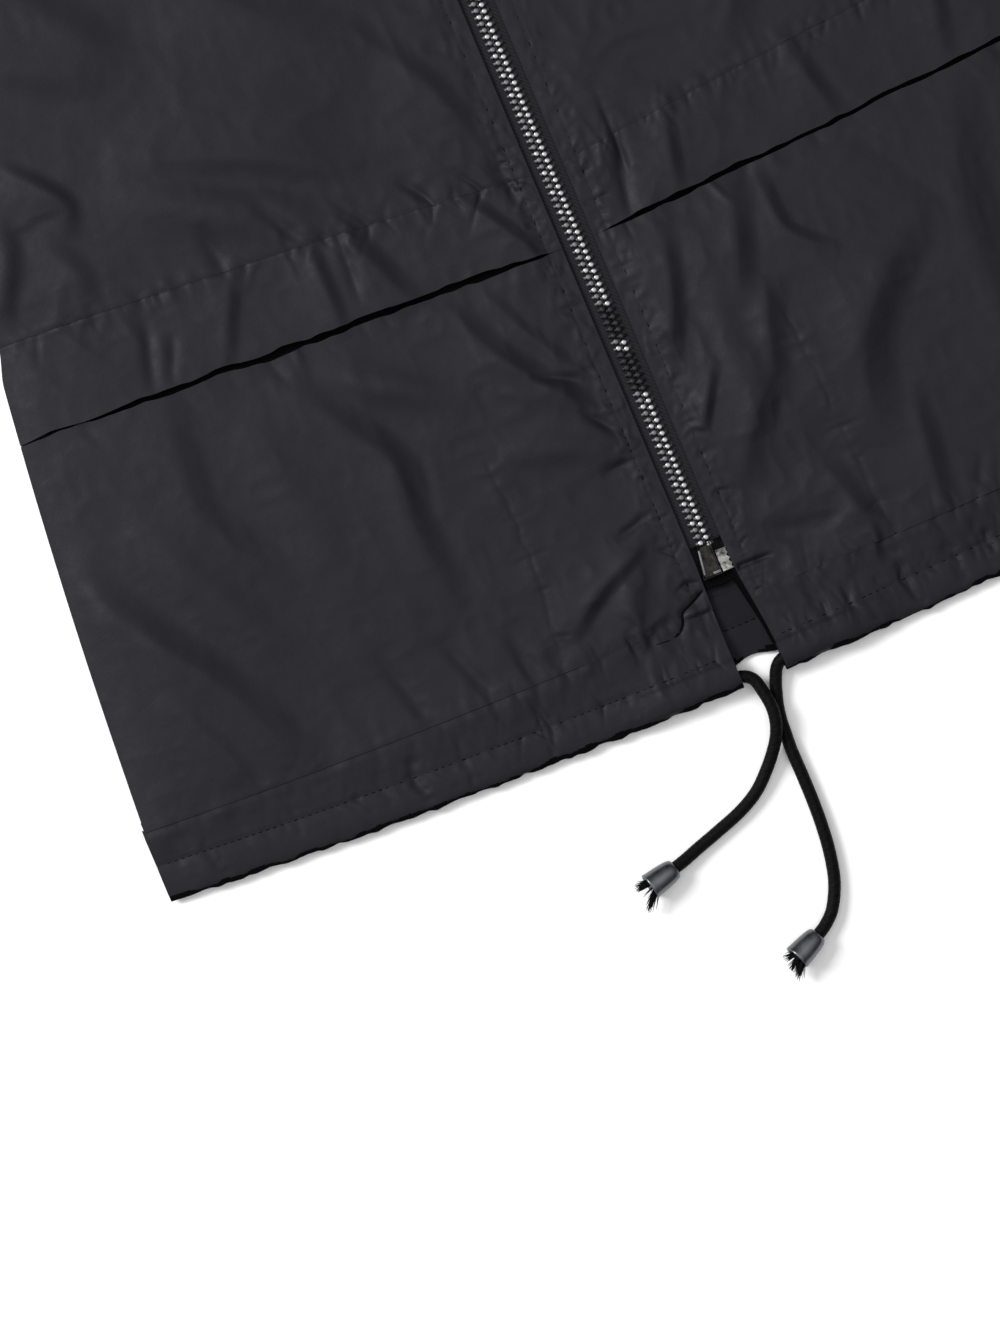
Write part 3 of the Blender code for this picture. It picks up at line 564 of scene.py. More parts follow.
# Creases in millimetres: points of the line, half width, rise, tail.
# With a tail the cloth steps up across the line and falls off gently, to the left of its run (less than 0: to the right).
creases = (
    # right front under the pocket
    (((-138, 202), (-121, 173), (-108, 148), (-111, 124), (-107, 83)), 8, 2.3, -30),
    (((-191, 212), (-194, 184), (-194, 159), (-174, 127)), 8, 1.5, -30),
    (((-259, 169), (-246, 138), (-229, 112), (-213, 87), (-196, 46)), 10, 2.5, -28),
    (((-61, 205), (-50, 179), (-36, 159), (-27, 148), (-17, 126)), 6.5, 2.4, -16),
    (((-44, 201), (-31, 174), (-21, 158)), 3.5, 0.9, -9),
    (((-25, 73), (-50, 61), (-67, 49)), 4, 1.9, -14),
    (((-62, 134), (-40, 127), (-18, 120)), 7, 1.3, 0),
    (((-124, 196), (-101, 182), (-79, 166)), 8, 1.4, 0),
    (((-76, 40), (-63, 43)), 4.5, 0.5, 0),
    (((-39, 160), (-26, 154)), 2.2, -1.1, 0),
    (((-26, 137), (-17, 126)), 2.4, -1.1, 0),
    (((-14, 111), (-27, 110)), 2.2, -0.9, 0),
    (((-18, 86), (-32, 82)), 2.2, -1.0, 0),
    (((-45, 36), (-38, 58), (-30, 70)), 7, 1.2, 0),
    (((-165, 190), (-158, 150), (-150, 110)), 12, 0.9, 0),
    (((-225, 160), (-205, 120), (-188, 88)), 10, 1.0, 0),
    (((-240, 90), (-228, 64), (-222, 46)), 5, 0.9, -12),
    (((-150, 70), (-142, 42)), 4, -0.7, 0),
    (((-122, 66), (-112, 40)), 3.5, -0.7, 0),
    (((-95, 60), (-90, 40)), 3, -0.6, 0),
    # left front under the pocket
    (((38, 194), (30, 166), (19, 144)), 5, 1.8, -18),
    (((33, 132), (20, 111)), 3, 1.3, -10),
    (((75, 203), (68, 181), (59, 158)), 7, 1.9, -18),
    (((72, 158), (66, 142), (61, 124)), 7, 1.9, -12),
    (((62, 121), (48, 109), (38, 96), (31, 82)), 7.5, 1.7, -18),
    (((151, 159), (134, 149), (118, 135), (105, 119), (98, 97), (93, 78)), 11, 2.6, -34),
    (((64, 78), (70, 58), (76, 34)), 6, 1.3, -14),
    (((113, 88), (109, 62), (107, 38)), 6, 1.3, -14),
    (((48, 190), (44, 150), (44, 110)), 8, 0.9, 0),
    (((86, 204), (88, 179), (102, 165)), 4, 1.2, -10),
    (((180, 200), (168, 150), (165, 90)), 12, 1.6, -30),
    (((228, 190), (222, 130), (215, 70)), 10, 1.2, 0),
    (((24, 60), (42, 53), (60, 54)), 6, -1.1, 0),
    # pocket bands
    (((-190, 246), (-196, 225)), 3, -0.8, 0),
    (((-181, 238), (-187, 224)), 2.4, -0.6, 0),
    (((-146, 250), (-160, 222)), 4, 1.1, -10),
    (((-108, 252), (-108, 218)), 4, 1.3, -10),
    (((-96, 250), (-98, 226)), 2.4, -0.6, 0),
    (((-89, 248), (-76, 217)), 6, 1.5, -14),
    (((-39, 249), (-18, 214)), 4, 1.4, -9),
    (((-18, 247), (-13, 214)), 2.4, -0.9, 0),
    (((60, 250), (52, 216)), 4, 1.0, -10),
    (((34, 244), (27, 214)), 3, -0.8, 0),
    (((120, 254), (128, 220)), 5, 1.1, -12),
    (((190, 258), (184, 226)), 5, 1.0, -12),
    # upper fronts
    (((-174, 302), (-136, 279), (-98, 258)), 12, 1.8, 0),
    (((-168, 314), (-126, 296), (-88, 276)), 8, 2.0, 26),
    (((-219, 337), (-204, 320), (-199, 309), (-204, 298)), 4.5, 1.9, -12),
    (((-229, 314), (-232, 296), (-248, 271)), 5, 2.0, -14),
    (((-214, 300), (-205, 280), (-208, 262)), 6, 1.1, -14),
    (((-150, 276), (-148, 258)), 3.5, -0.9, 0),
    (((-122, 274), (-112, 256)), 3.5, -0.9, 0),
    (((-60, 262), (-52, 250)), 3, -0.8, 0),
    (((-120, 420), (-96, 372), (-60, 330)), 14, 1.8, -30),
    (((-200, 440), (-172, 396), (-150, 360)), 12, 1.6, -30),
    (((-60, 560), (-92, 516), (-110, 470)), 14, 1.5, -30),
    (((-230, 400), (-205, 372), (-170, 352)), 8, 1.3, 20),
    (((-50, 330), (-30, 296), (-20, 262)), 6, 1.2, -14),
    (((110, 430), (84, 380), (60, 330)), 14, 1.8, -30),
    (((190, 450), (174, 400), (150, 350)), 12, 1.6, -30),
    (((70, 570), (104, 530), (130, 480)), 14, 1.5, -30),
    (((150, 320), (120, 292), (96, 262)), 9, 1.4, -20),
    (((230, 330), (206, 300), (196, 268)), 7, 1.3, -16),
)
# Folded in hard beside the zip's foot: points, half width, rise
sharpFolds = ((((-8.8, 46.2), (-15.5, 42.8), (-20.8, 40.3), (-22.6, 36.2), (-25.0, 33.3), (-29.6, 31.4), (-37.0, 32.0)),
               1.6, -1.1), (((8.8, 49.3), (17.0, 49.2), (27.7, 49.1)), 1.3, -1.9))
# Where the pocket bags are sewn to the fronts
bagSeams = (((-76, 139), (-73, 97), (-77, 41)), ((70, 150), (74, 115), (75, 88), (79, 38)))
bagSet = {"deep": 0.34, "half": 1.1, "wander": 1.1}
# Relief of the front's cloth in millimetres
relief = {"waist": 0.30, "waistRoll": 0.30, "placket": 0.34, "placketSewn": 0.14, "casingFine": 0.42, "casingBroad": 0.50,
          "crumple": 0.62, "fineCrumple": 0.32, "swell": 0.45, "sideSeam": 0.10}
# Heights that the fronts keep clear of
layers = {"back": 0.00175, "tape": 0.0049, "facingWall": 0.00085}


def lineOffset(x, y, points):
    # distance to a line, less than 0 on its right, and the part of the way along it, in millimetres
    best = np.full(x.shape, 1e9)
    offset, along = np.zeros(x.shape), np.zeros(x.shape)
    run = np.concatenate(([0.0], np.cumsum(np.linalg.norm(np.diff(points, axis=0), axis=1))))
    for i in range(len(points) - 1):
        (ax, ay), (dx, dy) = points[i], points[i + 1] - points[i]
        t = np.clip(((x - ax) * dx + (y - ay) * dy) / (dx * dx + dy * dy), 0.0, 1.0)
        px, py = x - ax - t * dx, y - ay - t * dy
        far = np.hypot(px, py)
        near = far < best
        best = np.where(near, far, best)
        offset = np.where(near, far * np.where(dx * py - dy * px >= 0.0, 1.0, -1.0), offset)
        along = np.where(near, (run[i] + t * (run[i + 1] - run[i])) / run[-1], along)
    return offset, along


def creaseLine(points):
    # the line drawn on a little past both ends, where the crease dies away
    points = np.array(points, float)
    return smoothLine(np.vstack((1.3 * points[0] - 0.3 * points[1], points, 1.3 * points[-1] - 0.3 * points[-2])), 4)


def creaseRise(x, y):
    total = np.zeros(x.shape)
    px, py = x / mm, y / mm
    for points, wide, rise, tail in creases:
        points = creaseLine(points)
        reach = 3.0 * wide + 4.0 * abs(tail)
        low, high = points.min(axis=0) - reach, points.max(axis=0) + reach
        near = (px > low[0]) & (px < high[0]) & (py > low[1]) & (py < high[1])
        if not near.any():
            continue
        offset, along = lineOffset(px[near], py[near], points)
        fade = np.sin(pi * along) ** 0.9
        if tail:
            up = offset * (1.0 if tail > 0 else -1.0)
            shape = ease((up / wide + 1.0) / 2.0) * np.exp(-np.maximum(up - wide * 0.5, 0.0) / abs(tail))
        else:
            shape = hump(offset, wide)
        total[near] += rise * fade * shape * creaseSet["gain"][1 if points[0][0] > 0 else -1]
    return total * mm


def sharpFold(x, y):
    total = np.zeros(x.shape)
    near = (np.abs(x) < 0.045) & (y < 0.064) & (y > 0.020)
    if near.any():
        for points, wide, rise in sharpFolds:
            offset, along = lineOffset(x[near] / mm, y[near] / mm, smoothLine(points, 5))
            fade = hump(offset, wide) * ease(along / 0.08 + 0.2) * ease((1.0 - along) / 0.35)
            total[near] += rise * mm * fade
    return total


def seamFurrow(x, y):
    # the pocket bags are sewn through: a fine crinkled line
    total = np.zeros(x.shape)
    for points in bagSeams:
        offset, along = lineOffset(x / mm, y / mm, smoothLine(points, 6))
        fade = ease(along / 0.12) * ease((1.0 - along) / 0.12)
        offset = offset + bagSet["wander"] * lattice(y, 0.0, 0.0065, 73)
        tucks = seamTucks("bag", y, np.abs(offset) * mm)
        total += fade * (-bagSet["deep"] * mm * hump(offset, bagSet["half"]) + tucks)
    return total


def frontCloth(x, y):
    # middle of the front's cloth with its creases, gathers and crumple
    ax = np.abs(x)
    inside = insideShare(x, y)
    held = ease((ax - 0.009) / 0.014)                  # the zip's tape keeps the edge flat
    z = baseHeight(x, y) + creaseRise(x, y) * ease(inside * 1.6) * held * ease((y - 0.024) / 0.016)
    z += seamFurrow(x, y) + sharpFold(x, y)
    # gathers at the waist seam, whose upper edge rolls in
    turn = int(np.sign(x.sum()))
    gap = np.abs(y - waistY(x))
    gathers = seamTucks("waist", ax, gap, turn)
    gathers = np.where(gathers > 0.0, 0.6 * gathers, gathers)
    z += (gathers + mm * relief["waist"] * crinkle(x, y, 0.007, 5) * np.exp(-gap / 0.008)) * held * ease(inside * 3.0)
    z -= mm * relief["waistRoll"] * hump(gap, 0.0010) * (y >= waistY(x))
    # strip beside the zip, shrunk by its sewing
    sewn = np.abs(ax - cut["placketSewn"])
    strip = ease((ax - 0.0078) / 0.0022) * ease((0.024 - ax) / 0.006)
    z += strip * (seamTucks("placket", y, sewn, turn) + mm * relief["placket"] * crinkle(x, y, 0.0046, 17))
    z -= mm * relief["placketSewn"] * hump(sewn, 0.0008)
    # small creases under the pocket slit and above the hem casing
    below = np.maximum(0.0, slitY(x) - y)
    z += seamTucks("slit", ax, below, turn) * (y < slitY(x)) * held * ease(inside * 3.0)
    low = np.abs(y - hemY(x) - casingHeight(x))
    middle = 0.45 + 0.55 * fall(ax - 0.05, 0.07)
    tucks = seamTucks("casingTop", ax, low, turn)
    tucks = np.where(tucks > 0.0, 0.4 * tucks, 1.2 * tucks)
    crumple = (relief["casingFine"] * crinkle(x, y, 0.0075, 29) * np.exp(-low / 0.012)
               + relief["casingBroad"] * crinkle(x, y, 0.0150, 30) * np.exp(-low / 0.020))
    z += held * ease(inside * 3.0) * middle * (tucks + mm * crumple)
    # loose crumple, more of it towards the zip
    near = 0.35 + 0.65 * fall(ax - 0.02, 0.07)
    crumple = (relief["crumple"] * near * crinkle(x, y, 0.021, 31) + relief["fineCrumple"] * near * crinkle(x, y, 0.009, 37)
               + relief["swell"] * lattice(x, y, 0.034, 41))
    z += mm * held * ease(inside * 2.0) * crumple
    # the side seam is drawn up a little
    edge = fall(halfWidth(y) - ax, 0.006) * (y < cut["underarm"])
    z += mm * relief["sideSeam"] * edge * crinkle(x, y, 0.0090, 43)
    return z


def aboveLayer(z, layer):
    # keeps the cloth from sinking into what is under it
    spare = z - layer
    return layer + 0.5 * (spare + np.sqrt(spare ** 2 + 0.0005 ** 2))


def facingHeight(x, y):
    return (0.0012 + baseHeight(x, y) - 0.0006) / 2


def frontSurface(x, y):
    z = frontCloth(x, y)
    under = np.full(x.shape, layers["back"])
    rise = y - slitY(x)
    pocket = ease((rise + 0.034) / 0.004) * ease((0.024 - rise) / 0.004)
    under = np.maximum(under, mix(under, facingHeight(x, y) + layers["facingWall"], pocket))
    tape = ease((0.0145 - np.abs(x)) / 0.001) * ease((y - 0.060) / 0.004)
    under = np.maximum(under, mix(under, layers["tape"], tape))
    return aboveLayer(z, under)


bothSides = ((1, "left"), (-1, "right"))


def clothPiece(name, node, columns, rows, lay, finish, wall=cut["wall"], offset=0.0, around=False):
    mesh = layGrid(name, columns, rows, lay)
    bm = bmesh.new()
    bm.from_mesh(mesh)
    if around:
        bmesh.ops.remove_doubles(bm, verts=bm.verts, dist=1e-6)
    for edge in bm.edges:
        if edge.is_boundary:
            edge.smooth = False          # crisp cut edges, so joined panels shade as one
    area = sum(face.calc_area() for face in bm.faces)
    bm.to_mesh(mesh)
    bm.free()
    piece = addPiece(name, mesh, finish)
    addWall(piece, wall, offset)
    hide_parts(node)
    return piece


# Back: flat on the surface, with shallow waves
backSet = {"rows": 90, "columns": 84, "height": 0.00055, "bandRows": 20, "bandColumns": 160, "bandHeight": 0.0010,
           "edgeRise": 0.0020}


def backLow(x):
    return cut["backBand"] - 0.0030 + 0.6 * hemY(x)


def backLay(u, v):
    side = 2.0 * u - 1.0
    topX = twoPart(np.abs(side), 0.4, 0.0, cut["neckHalf"], cut["shoulderX"])
    foot = backLow(halfWidth(0.048))
    level = twoPart(v, 8 / 14, foot, cut["underarm"], cut["shoulderY"])
    wide = halfWidth(level)
    x = np.sign(side) * mix(np.abs(side) * wide, topX * wide / cut["shoulderX"], v)
    y = mix(backLow(x), topLine(topX, cut["backDrop"]), (level - foot) / (cut["shoulderY"] - foot))
    return x, y, backSet["height"] + 0.00012 * lattice(x, y, 0.03, 61)


def backBandLay(u, v):
    x = (2.0 * u - 1.0) * (halfWidth(0.02) - 0.0006)
    sag = 0.0016 * np.cos(x / 0.0045) * hump(x, 0.02)      # the edge hangs in a shallow curve at the gap
    y = mix(cut["backHem"] + 0.2 * hemY(x) + sag, cut["backBand"] + 0.6 * hemY(x), v)
    middle = hump(x, 0.03)
    z = backSet["bandHeight"] + mm * 0.20 * puckers(x, y, 0.0075, 67) * ease(v / 0.2) * ease((1 - v) / 0.2)
    z -= mm * 0.30 * hump(y - cut["backSewn"] - 0.4 * hemY(x), 0.0010)
    return x, y, z + 0.0003 * middle


clothPiece("back_panel", "back", backSet["columns"], backSet["rows"], backLay, nylonReverse, wall=0.0009)
band = clothPiece("back_hem_band", "hem_casing_back", backSet["bandColumns"], backSet["bandRows"], backBandLay, nylonReverse,
                  wall=0.0012)
band.data.materials.append(nylonHem)        # the turned-up hem below the sewn line, and its shaded edge
band.data.materials.append(nylonShadePainted)
for face in band.data.polygons:
    rise = face.center.y + middleY - cut["backHem"]
    sewn = 0.0157 + 0.4 * hemY(face.center.x)
    face.material_index = 2 if rise < backSet["edgeRise"] else int(rise < sewn)
print("back made")

# Hem casing: turned up round the drawcord's channel and gathered on it
casingSet = {"base": 0.0024, "mouthTop": 0.0102, "channelTop": 0.0060, "mouthSewn": 0.0074, "sewn": 0.0052,
             "stations": 280, "profile": 58, "scallop": 0.0008, "seat": 0.00135, "lowest": 0.00085, "groove": 0.00036}


def casingSpot(side, u, place):
    # place runs over ten marks: inner edge at 0, channel's back, turned edge at 3, channel's top at 5, sewn line at 7,
    # upper edge at 9
    x = side * mix(cut["gapEdge"][side], halfWidth(cut["casingY"]), u)
    ax = np.abs(x)
    channel, whole, base = channelHeight(x), casingHeight(x), casingSet["base"]
    shut, mouth = ease((1.0 - u) * 12.0), ease((0.24 - u) / 0.14)
    top = mix(casingSet["channelTop"], casingSet["mouthTop"], mouth) * mix(0.72, 1.0, shut)
    sewn = mix(base + casingSet["seat"], mix(casingSet["sewn"], casingSet["mouthSewn"], mouth), shut)
    seat = np.maximum(baseHeight(x, hemY(x) + whole), base + casingSet["seat"])
    nothing = 0.0 * x
    rises = np.array((0.90 * whole, channel, 0.30 * channel, nothing, 0.10 * channel, 0.40 * channel, 0.74 * channel,
                      channel, mix(channel, whole, 0.5), whole + 0.0012))
    heights = np.array((base + nothing, base + nothing, base + nothing, mix(base, top, 0.42), mix(base, top, 0.84), top,
                        mix(sewn, top, 0.72), sewn, mix(sewn, seat, 0.6), seat))
    i = np.clip(np.floor(place).astype(int), 0, 8)
    t = place - i
    station = np.arange(len(u))
    spots = []
    for rows in (rises, heights):
        a, b = rows[i, station], rows[i + 1, station]
        pullA = (b - rows[np.maximum(i - 1, 0), station]) / 2
        pullB = (rows[np.minimum(i + 2, 9), station] - a) / 2
        spots.append(hermite(a, b, pullA, pullB, t))
    rise, z = spots
    ends = ease(u * 30) * ease((1.0 - u) * 14)
    # gathers get weaker away from the drawcord's mouth
    full = 0.50 + 0.50 * fall(ax - 0.07, 0.08)
    broad = puckers(ax, 0.0, 0.017, 85 + side)
    small = lattice(ax, 0.0, 0.0035, 88 + side)
    rolled = ease((place - 2.0) / 1.2)
    edge = ease((place - 1.6) / 1.2) * ease((4.8 - place) / 1.8)
    rise = rise - casingSet["scallop"] * (0.6 * broad * full + 0.7 * small) * ends * edge
    y = hemY(x) + rise
    reach = np.abs(rise - channel)
    tucks = seamTucks("channel", ax, reach, side) + 0.00028 * crinkle(x, y, 0.0070, 97) + 0.00020 * crinkle(x, y, 0.0042, 103)
    front = frontSurface(x, y)
    flat = mix(z, front, ease((place - 7.2) / 1.5))
    lift = tucks * full * ends * rolled * ease((9.0 - place) / 0.6)
    z = flat + np.where(lift < 0.0, 1.35 * lift * (1.0 - 0.7 * mouth * ease((7.0 - place) / 1.5)), 0.35 * lift)
    # the channel's sewn line, and the upper edge tucked under the front's
    upper = ease((place - 6.0) / 0.8)
    z = z - casingSet["groove"] * hump(rise - channel, 0.0009) * upper * (1.0 - 0.6 * mouth)
    tucked = mix(0.00022, 0.00056, ease((ax - 0.066) / 0.008))
    z = z - tucked * ease((rise - whole + 0.0026) / 0.0022) * ease(place - 7.0)
    x = mix(x, side * mix(frontEdge(side, y), halfWidth(cut["casingY"]), u), ease((place - 6.0) / 1.0))
    return x, y, np.where(place > 6.0, np.maximum(z, base + casingSet["lowest"]), z)


def casingLay(side, u, v):
    # few rows in the hidden lower layer
    return casingSpot(side, dense(u), np.where(v < 0.14, v / 0.14 * 2.6, 2.6 + (v - 0.14) / 0.86 * 6.4))


def lowerLay(side, u, v):
    u, v = dense(u), v * (0.6 + 0.4 * v)
    x = side * mix(frontEdge(side, 0.04), halfWidth(0.04), u)
    low = hemY(x) + casingHeight(x)
    x = side * mix(cut["zipEdge"], halfWidth(0.13), u)
    y = mix(low, slitY(x) - slitOpen(x, side, 51), v)
    x = side * mix(frontEdge(side, y), halfWidth(y), u)
    ax = np.abs(x)
    # the slit's lower lip sinks, and the lower edge dips over the casing
    sag = ease((v - 0.93) / 0.07) * ease((ax - 0.015) / 0.02) * ease((halfWidth(y) - ax - 0.004) / 0.03)
    rise = y - hemY(x) - casingHeight(x)
    dip = hump(rise, 0.0010) * mix(0.00016, 0.00010, ease((ax - 0.066) / 0.008))
    return x, y, frontSurface(x, y) - 0.0004 * sag - dip


def bandLay(side, u, v):
    u = dense(u)
    x = side * mix(cut["zipEdge"], halfWidth(mix(0.222, cut["waistSide"], v)), u)
    low = slitY(x) + slitOpen(x, side, 57)
    seam = waistY(mix(cut["zipEdge"], halfWidth(cut["waistSide"]), u))
    y = mix(low, seam + 0.0012, v)
    lip = ease((np.abs(x) - 0.015) / 0.02) * 0.0006 * (1.0 - v) ** 2
    return x, y, frontSurface(x, y) + lip - 0.0005 * ease((y - seam + 0.0003) / 0.0004)


def upperLay(side, u, v):
    u, v = dense(u), v * (0.35 + 0.65 * v)
    underarm = (cut["underarm"] - cut["waistSide"]) / (cut["shoulderY"] - cut["waistSide"])
    rise = twoPart(v, 0.55, 0.0, underarm, 1.0)
    level = mix(cut["waistSide"], cut["shoulderY"], rise)
    topX = twoPart(u, 0.4, cut["zipEdge"], cut["neckHalf"], cut["shoulderX"])
    footX = mix(cut["zipEdge"], halfWidth(level), u)
    x = side * mix(footX, topX * mix(1.0, halfWidth(level) / cut["shoulderX"], u), rise)
    low = waistY(mix(cut["zipEdge"], halfWidth(cut["waistSide"]), u))
    y = mix(low, topLine(topX, cut["frontDrop"]), rise)
    return x, y, frontSurface(x, y)


def facingLay(side, u, v):
    x = side * mix(0.0150, halfWidth(0.215) - 0.014, u)
    y = slitY(x) + mix(-0.030, 0.020, v)
    return x, y, facingHeight(x, y) + 0.00015 * lattice(x, y, 0.02, 101)


# Sleeve: a flattened tube from the armhole to the cuff, with a turned cuff hem
sleeveSet = {"around": 80, "along": 110, "outer": (0.708, 0.275), "inner": (0.634, 0.181), "top": 0.0059, "lap": 0.0012,
             "seam": 0.0010, "cuffSewn": 0.945, "wall": 0.0008}


def armholeEdge(level):
    step = (cut["shoulderY"] - cut["underarm"]) / 6
    low = cut["underarm"] + step * np.clip(((level - cut["underarm"]) / step + 1e-6).astype(int), 0, 5)
    return mix(halfWidth(low + 1e-9), halfWidth(low + step), (level - low) / step)


def sleeveLay(side, u, v):
    turn = 2.0 * pi * u
    across = 0.5 - 0.5 * np.sign(np.cos(turn)) * np.abs(np.cos(turn)) ** 0.9
    level = mix(cut["shoulderY"], cut["underarm"], across)
    endX, endY = (mix(sleeveSet["outer"][k], sleeveSet["inner"][k], across) for k in (0, 1))
    x, y = mix(armholeEdge(level) - sleeveSet["lap"], endX, v), mix(level, endY, v)
    thick = sleeveSet["top"] * (0.92 + 0.08 * np.sin(9.0 * v + 2.0 * side))
    half = 0.48 * thick
    bulge = np.abs(np.sin(turn)) ** 0.4
    above = np.sin(turn) > 0
    z = np.where(above, half + (thick - half) * bulge, np.maximum(0.0, half - 1.12 * half * bulge))
    # folds across the elbow and a little crumple, on the upper layer alone
    wave = (0.0007 * np.sin(26.0 * v + 5.0 * across) + 0.00055 * crinkle(x, y, 0.034, 111)
            + 0.0003 * crinkle(x, y, 0.014, 113))
    wave += 0.0004 * puckers(y, x * 0.2, 0.012, 117) * np.exp(-v / 0.02)
    cuff = 0.0005 * hump(v - sleeveSet["cuffSewn"], 0.004)
    # at the armhole it goes in under the body's edge
    seam = sleeveSet["seam"] * (1.0 - ease((v - 0.005) / 0.010))
    z = z + np.where(above, (wave * ease((1.0 - v) / 0.05 + 0.3) - cuff - seam) * bulge, 0.0)
    return side * x, y, np.where(above, np.maximum(z, 0.5 * half), z)


# Panels of a front: name, columns, rows, lay
frontRows = (("front_lower", 250, 160, lowerLay), ("pocket_band", 250, 42, bandLay), ("front_upper", 170, 116, upperLay))
for side, word in bothSides:
    for name, columns, rows, lay in frontRows:
        clothPiece(f"{name}_cloth_{word}", f"{name}_{word}", columns, rows, partial(lay, side), nylon)
    clothPiece("pocket_facing_cloth_" + word, "pocket_facing_" + word, 80, 20, partial(facingLay, side), pocketingAndShade,
               wall=0.0006)
    casing = clothPiece("hem_casing_cloth_" + word, "hem_casing_" + word, casingSet["stations"], casingSet["profile"],
                        partial(casingLay, side), nylonCasing)
    casing.data.materials.append(nylonShadePainted)
    # painted shade: the under-roll's faces get the near-black cloth, an uneven dark line along the hem
    middles = np.empty(len(casing.data.polygons) * 3)
    casing.data.polygons.foreach_get("center", middles)
    x, y, z = middles.reshape(-1, 3).T
    ragged = 0.0012 + 0.0007 * lattice(x, 0.0, 0.0045, 131) + 0.0008 * lattice(x, 0.0, 0.016, 133)
    rise = y + middleY - hemY(x)
    casing.data.polygons.foreach_set("material_index", ((rise < ragged) & (z > casingSet["base"])).astype(int))
    clothPiece("sleeve_cloth_" + word, "sleeve_" + word, sleeveSet["around"], sleeveSet["along"], partial(sleeveLay, side),
               nylon, wall=sleeveSet["wall"], offset=-1.0 if side > 0 else 1.0, around=True)
    print("front and sleeve made:", word)

# Dark bottom of the hard fold beside the zip's foot, which no light reaches. It runs over the front and then the casing.
foldSet = {"half": 0.00060, "lift": 0.00044, "steps": 120, "wall": 0.0002}


def clothTop(x, y):
    z = frontSurface(x, y)
    marks = np.linspace(6.8, 9.0, 45)
    onCasing = np.flatnonzero(y < hemY(x) + casingHeight(x))
    u = (np.abs(x[onCasing]) - cut["gapEdge"][-1]) / (halfWidth(cut["casingY"]) - cut["gapEdge"][-1])
    spots = casingSpot(-1, np.repeat(u, len(marks)), np.tile(marks, len(u)))
    levels, heights = (row.reshape(-1, len(marks)) for row in spots[1:3])
    z[onCasing] = [np.interp(y[k], level, height) for k, level, height in zip(onCasing, levels, heights)]
    return z


def foldLay(u, v):
    line = evenLine(smoothLine(sharpFolds[0][0], 8) * mm, 0.0003)[0]
    way = np.gradient(line, axis=0)
    way /= np.linalg.norm(way, axis=1)[:, None]
    at = v * (len(line) - 1)
    x, y, wayX, wayY = (np.interp(at, np.arange(len(line)), row) for row in (*line.T, *way.T))
    half = foldSet["half"] * (2.0 * u - 1.0) * mix(0.25, 1.0, ease((1.0 - v) / 0.45)) * ease(v / 0.08 + 0.3)
    x, y = x - wayY * half, y + wayX * half
    return x, y, clothTop(x, y) + foldSet["lift"]


fold = addPiece("front_fold_right", layGrid("front_fold_right", 3, foldSet["steps"], foldLay), nylonShadePainted)
addWall(fold, foldSet["wall"])

# Collar: a stand band folded flat at both sides
collarSet = {"columns": 168, "rows": 26}


def collarLay(u, v):
    side = np.where(u < 0.5, -1.0, 1.0)
    step = 28.0 * np.minimum(u, 1.0 - u)
    marks = np.arange(15)
    frontX = mix(cut["zipEdge"], cut["neckHalf"], np.arange(9) / 8)
    backX = cut["neckHalf"] * (14 - np.arange(10, 15)) / 4
    xs = np.concatenate((frontX, [cut["neckHalf"] + 0.0010], backX))
    ys = np.concatenate((neckLine(frontX, cut["frontDrop"]), [cut["neckY"]], neckLine(backX, cut["backDrop"])))
    frontZ = mix(0.0031, cut["frontEdge"] + cut["frontLoft"] + 0.0001, ease((cut["neckHalf"] - frontX) / 0.040))
    zs = np.concatenate((frontZ, [0.0019], np.full(5, 0.0007)))
    x, y, z = (np.interp(step, marks, rows) for rows in (xs, ys, zs))
    x = side * x * (1.0 - 0.07 * v)
    y = y + 0.0009 + cut["collarHeight"] * v
    ripple = 0.0003 * crinkle(x, y, 0.016, 121) + 0.0002 * puckers(x, y, 0.009, 123) * np.exp(-v / 0.12)
    sewn = 0.0004 * hump(v - 0.93, 0.012)
    return x, y, z + np.where(step < 7.5, ripple - sewn, 0.0)


clothPiece("collar_cloth", "collar", collarSet["columns"], collarSet["rows"], collarLay, nylon, wall=0.0011)
print("collar made")

# Zip
zipSet = {"pitch": 0.0031, "from": 0.0640, "to": 0.6510, "headX": 0.00160, "head": (0.00142, 0.00130, 0.00042),
          "height": 0.0053, "bar": (0.0043, 0.00125, 0.0014), "tapeIn": 0.0003, "tapeOut": 0.0130, "tape": 0.0041,
          "tapeTop": 0.674, "shadedStretch": (0.138, 0.178), "litStretch": (0.1565, 0.1625)}


def tapeLay(side, u, v):
    x = side * mix(zipSet["tapeIn"], zipSet["tapeOut"], u)
    y = mix(cut["zipFoot"], zipSet["tapeTop"], v)
    ridge = 0.00035 * hump(np.abs(x) - 0.0040, 0.0006)      # woven edge rib beside the teeth
    return x, y, zipSet["tape"] + ridge + 0.00008 * np.sin(y / 0.0011) * (u > 0.1)


for side, word in bothSides:
    name = "zip_tape_weave_" + word
    tape = addPiece(name, layGrid(name, 16, 420, partial(tapeLay, side)), tapeWeave)
    addWall(tape, 0.0006)
    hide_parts("zip_tape_" + word)
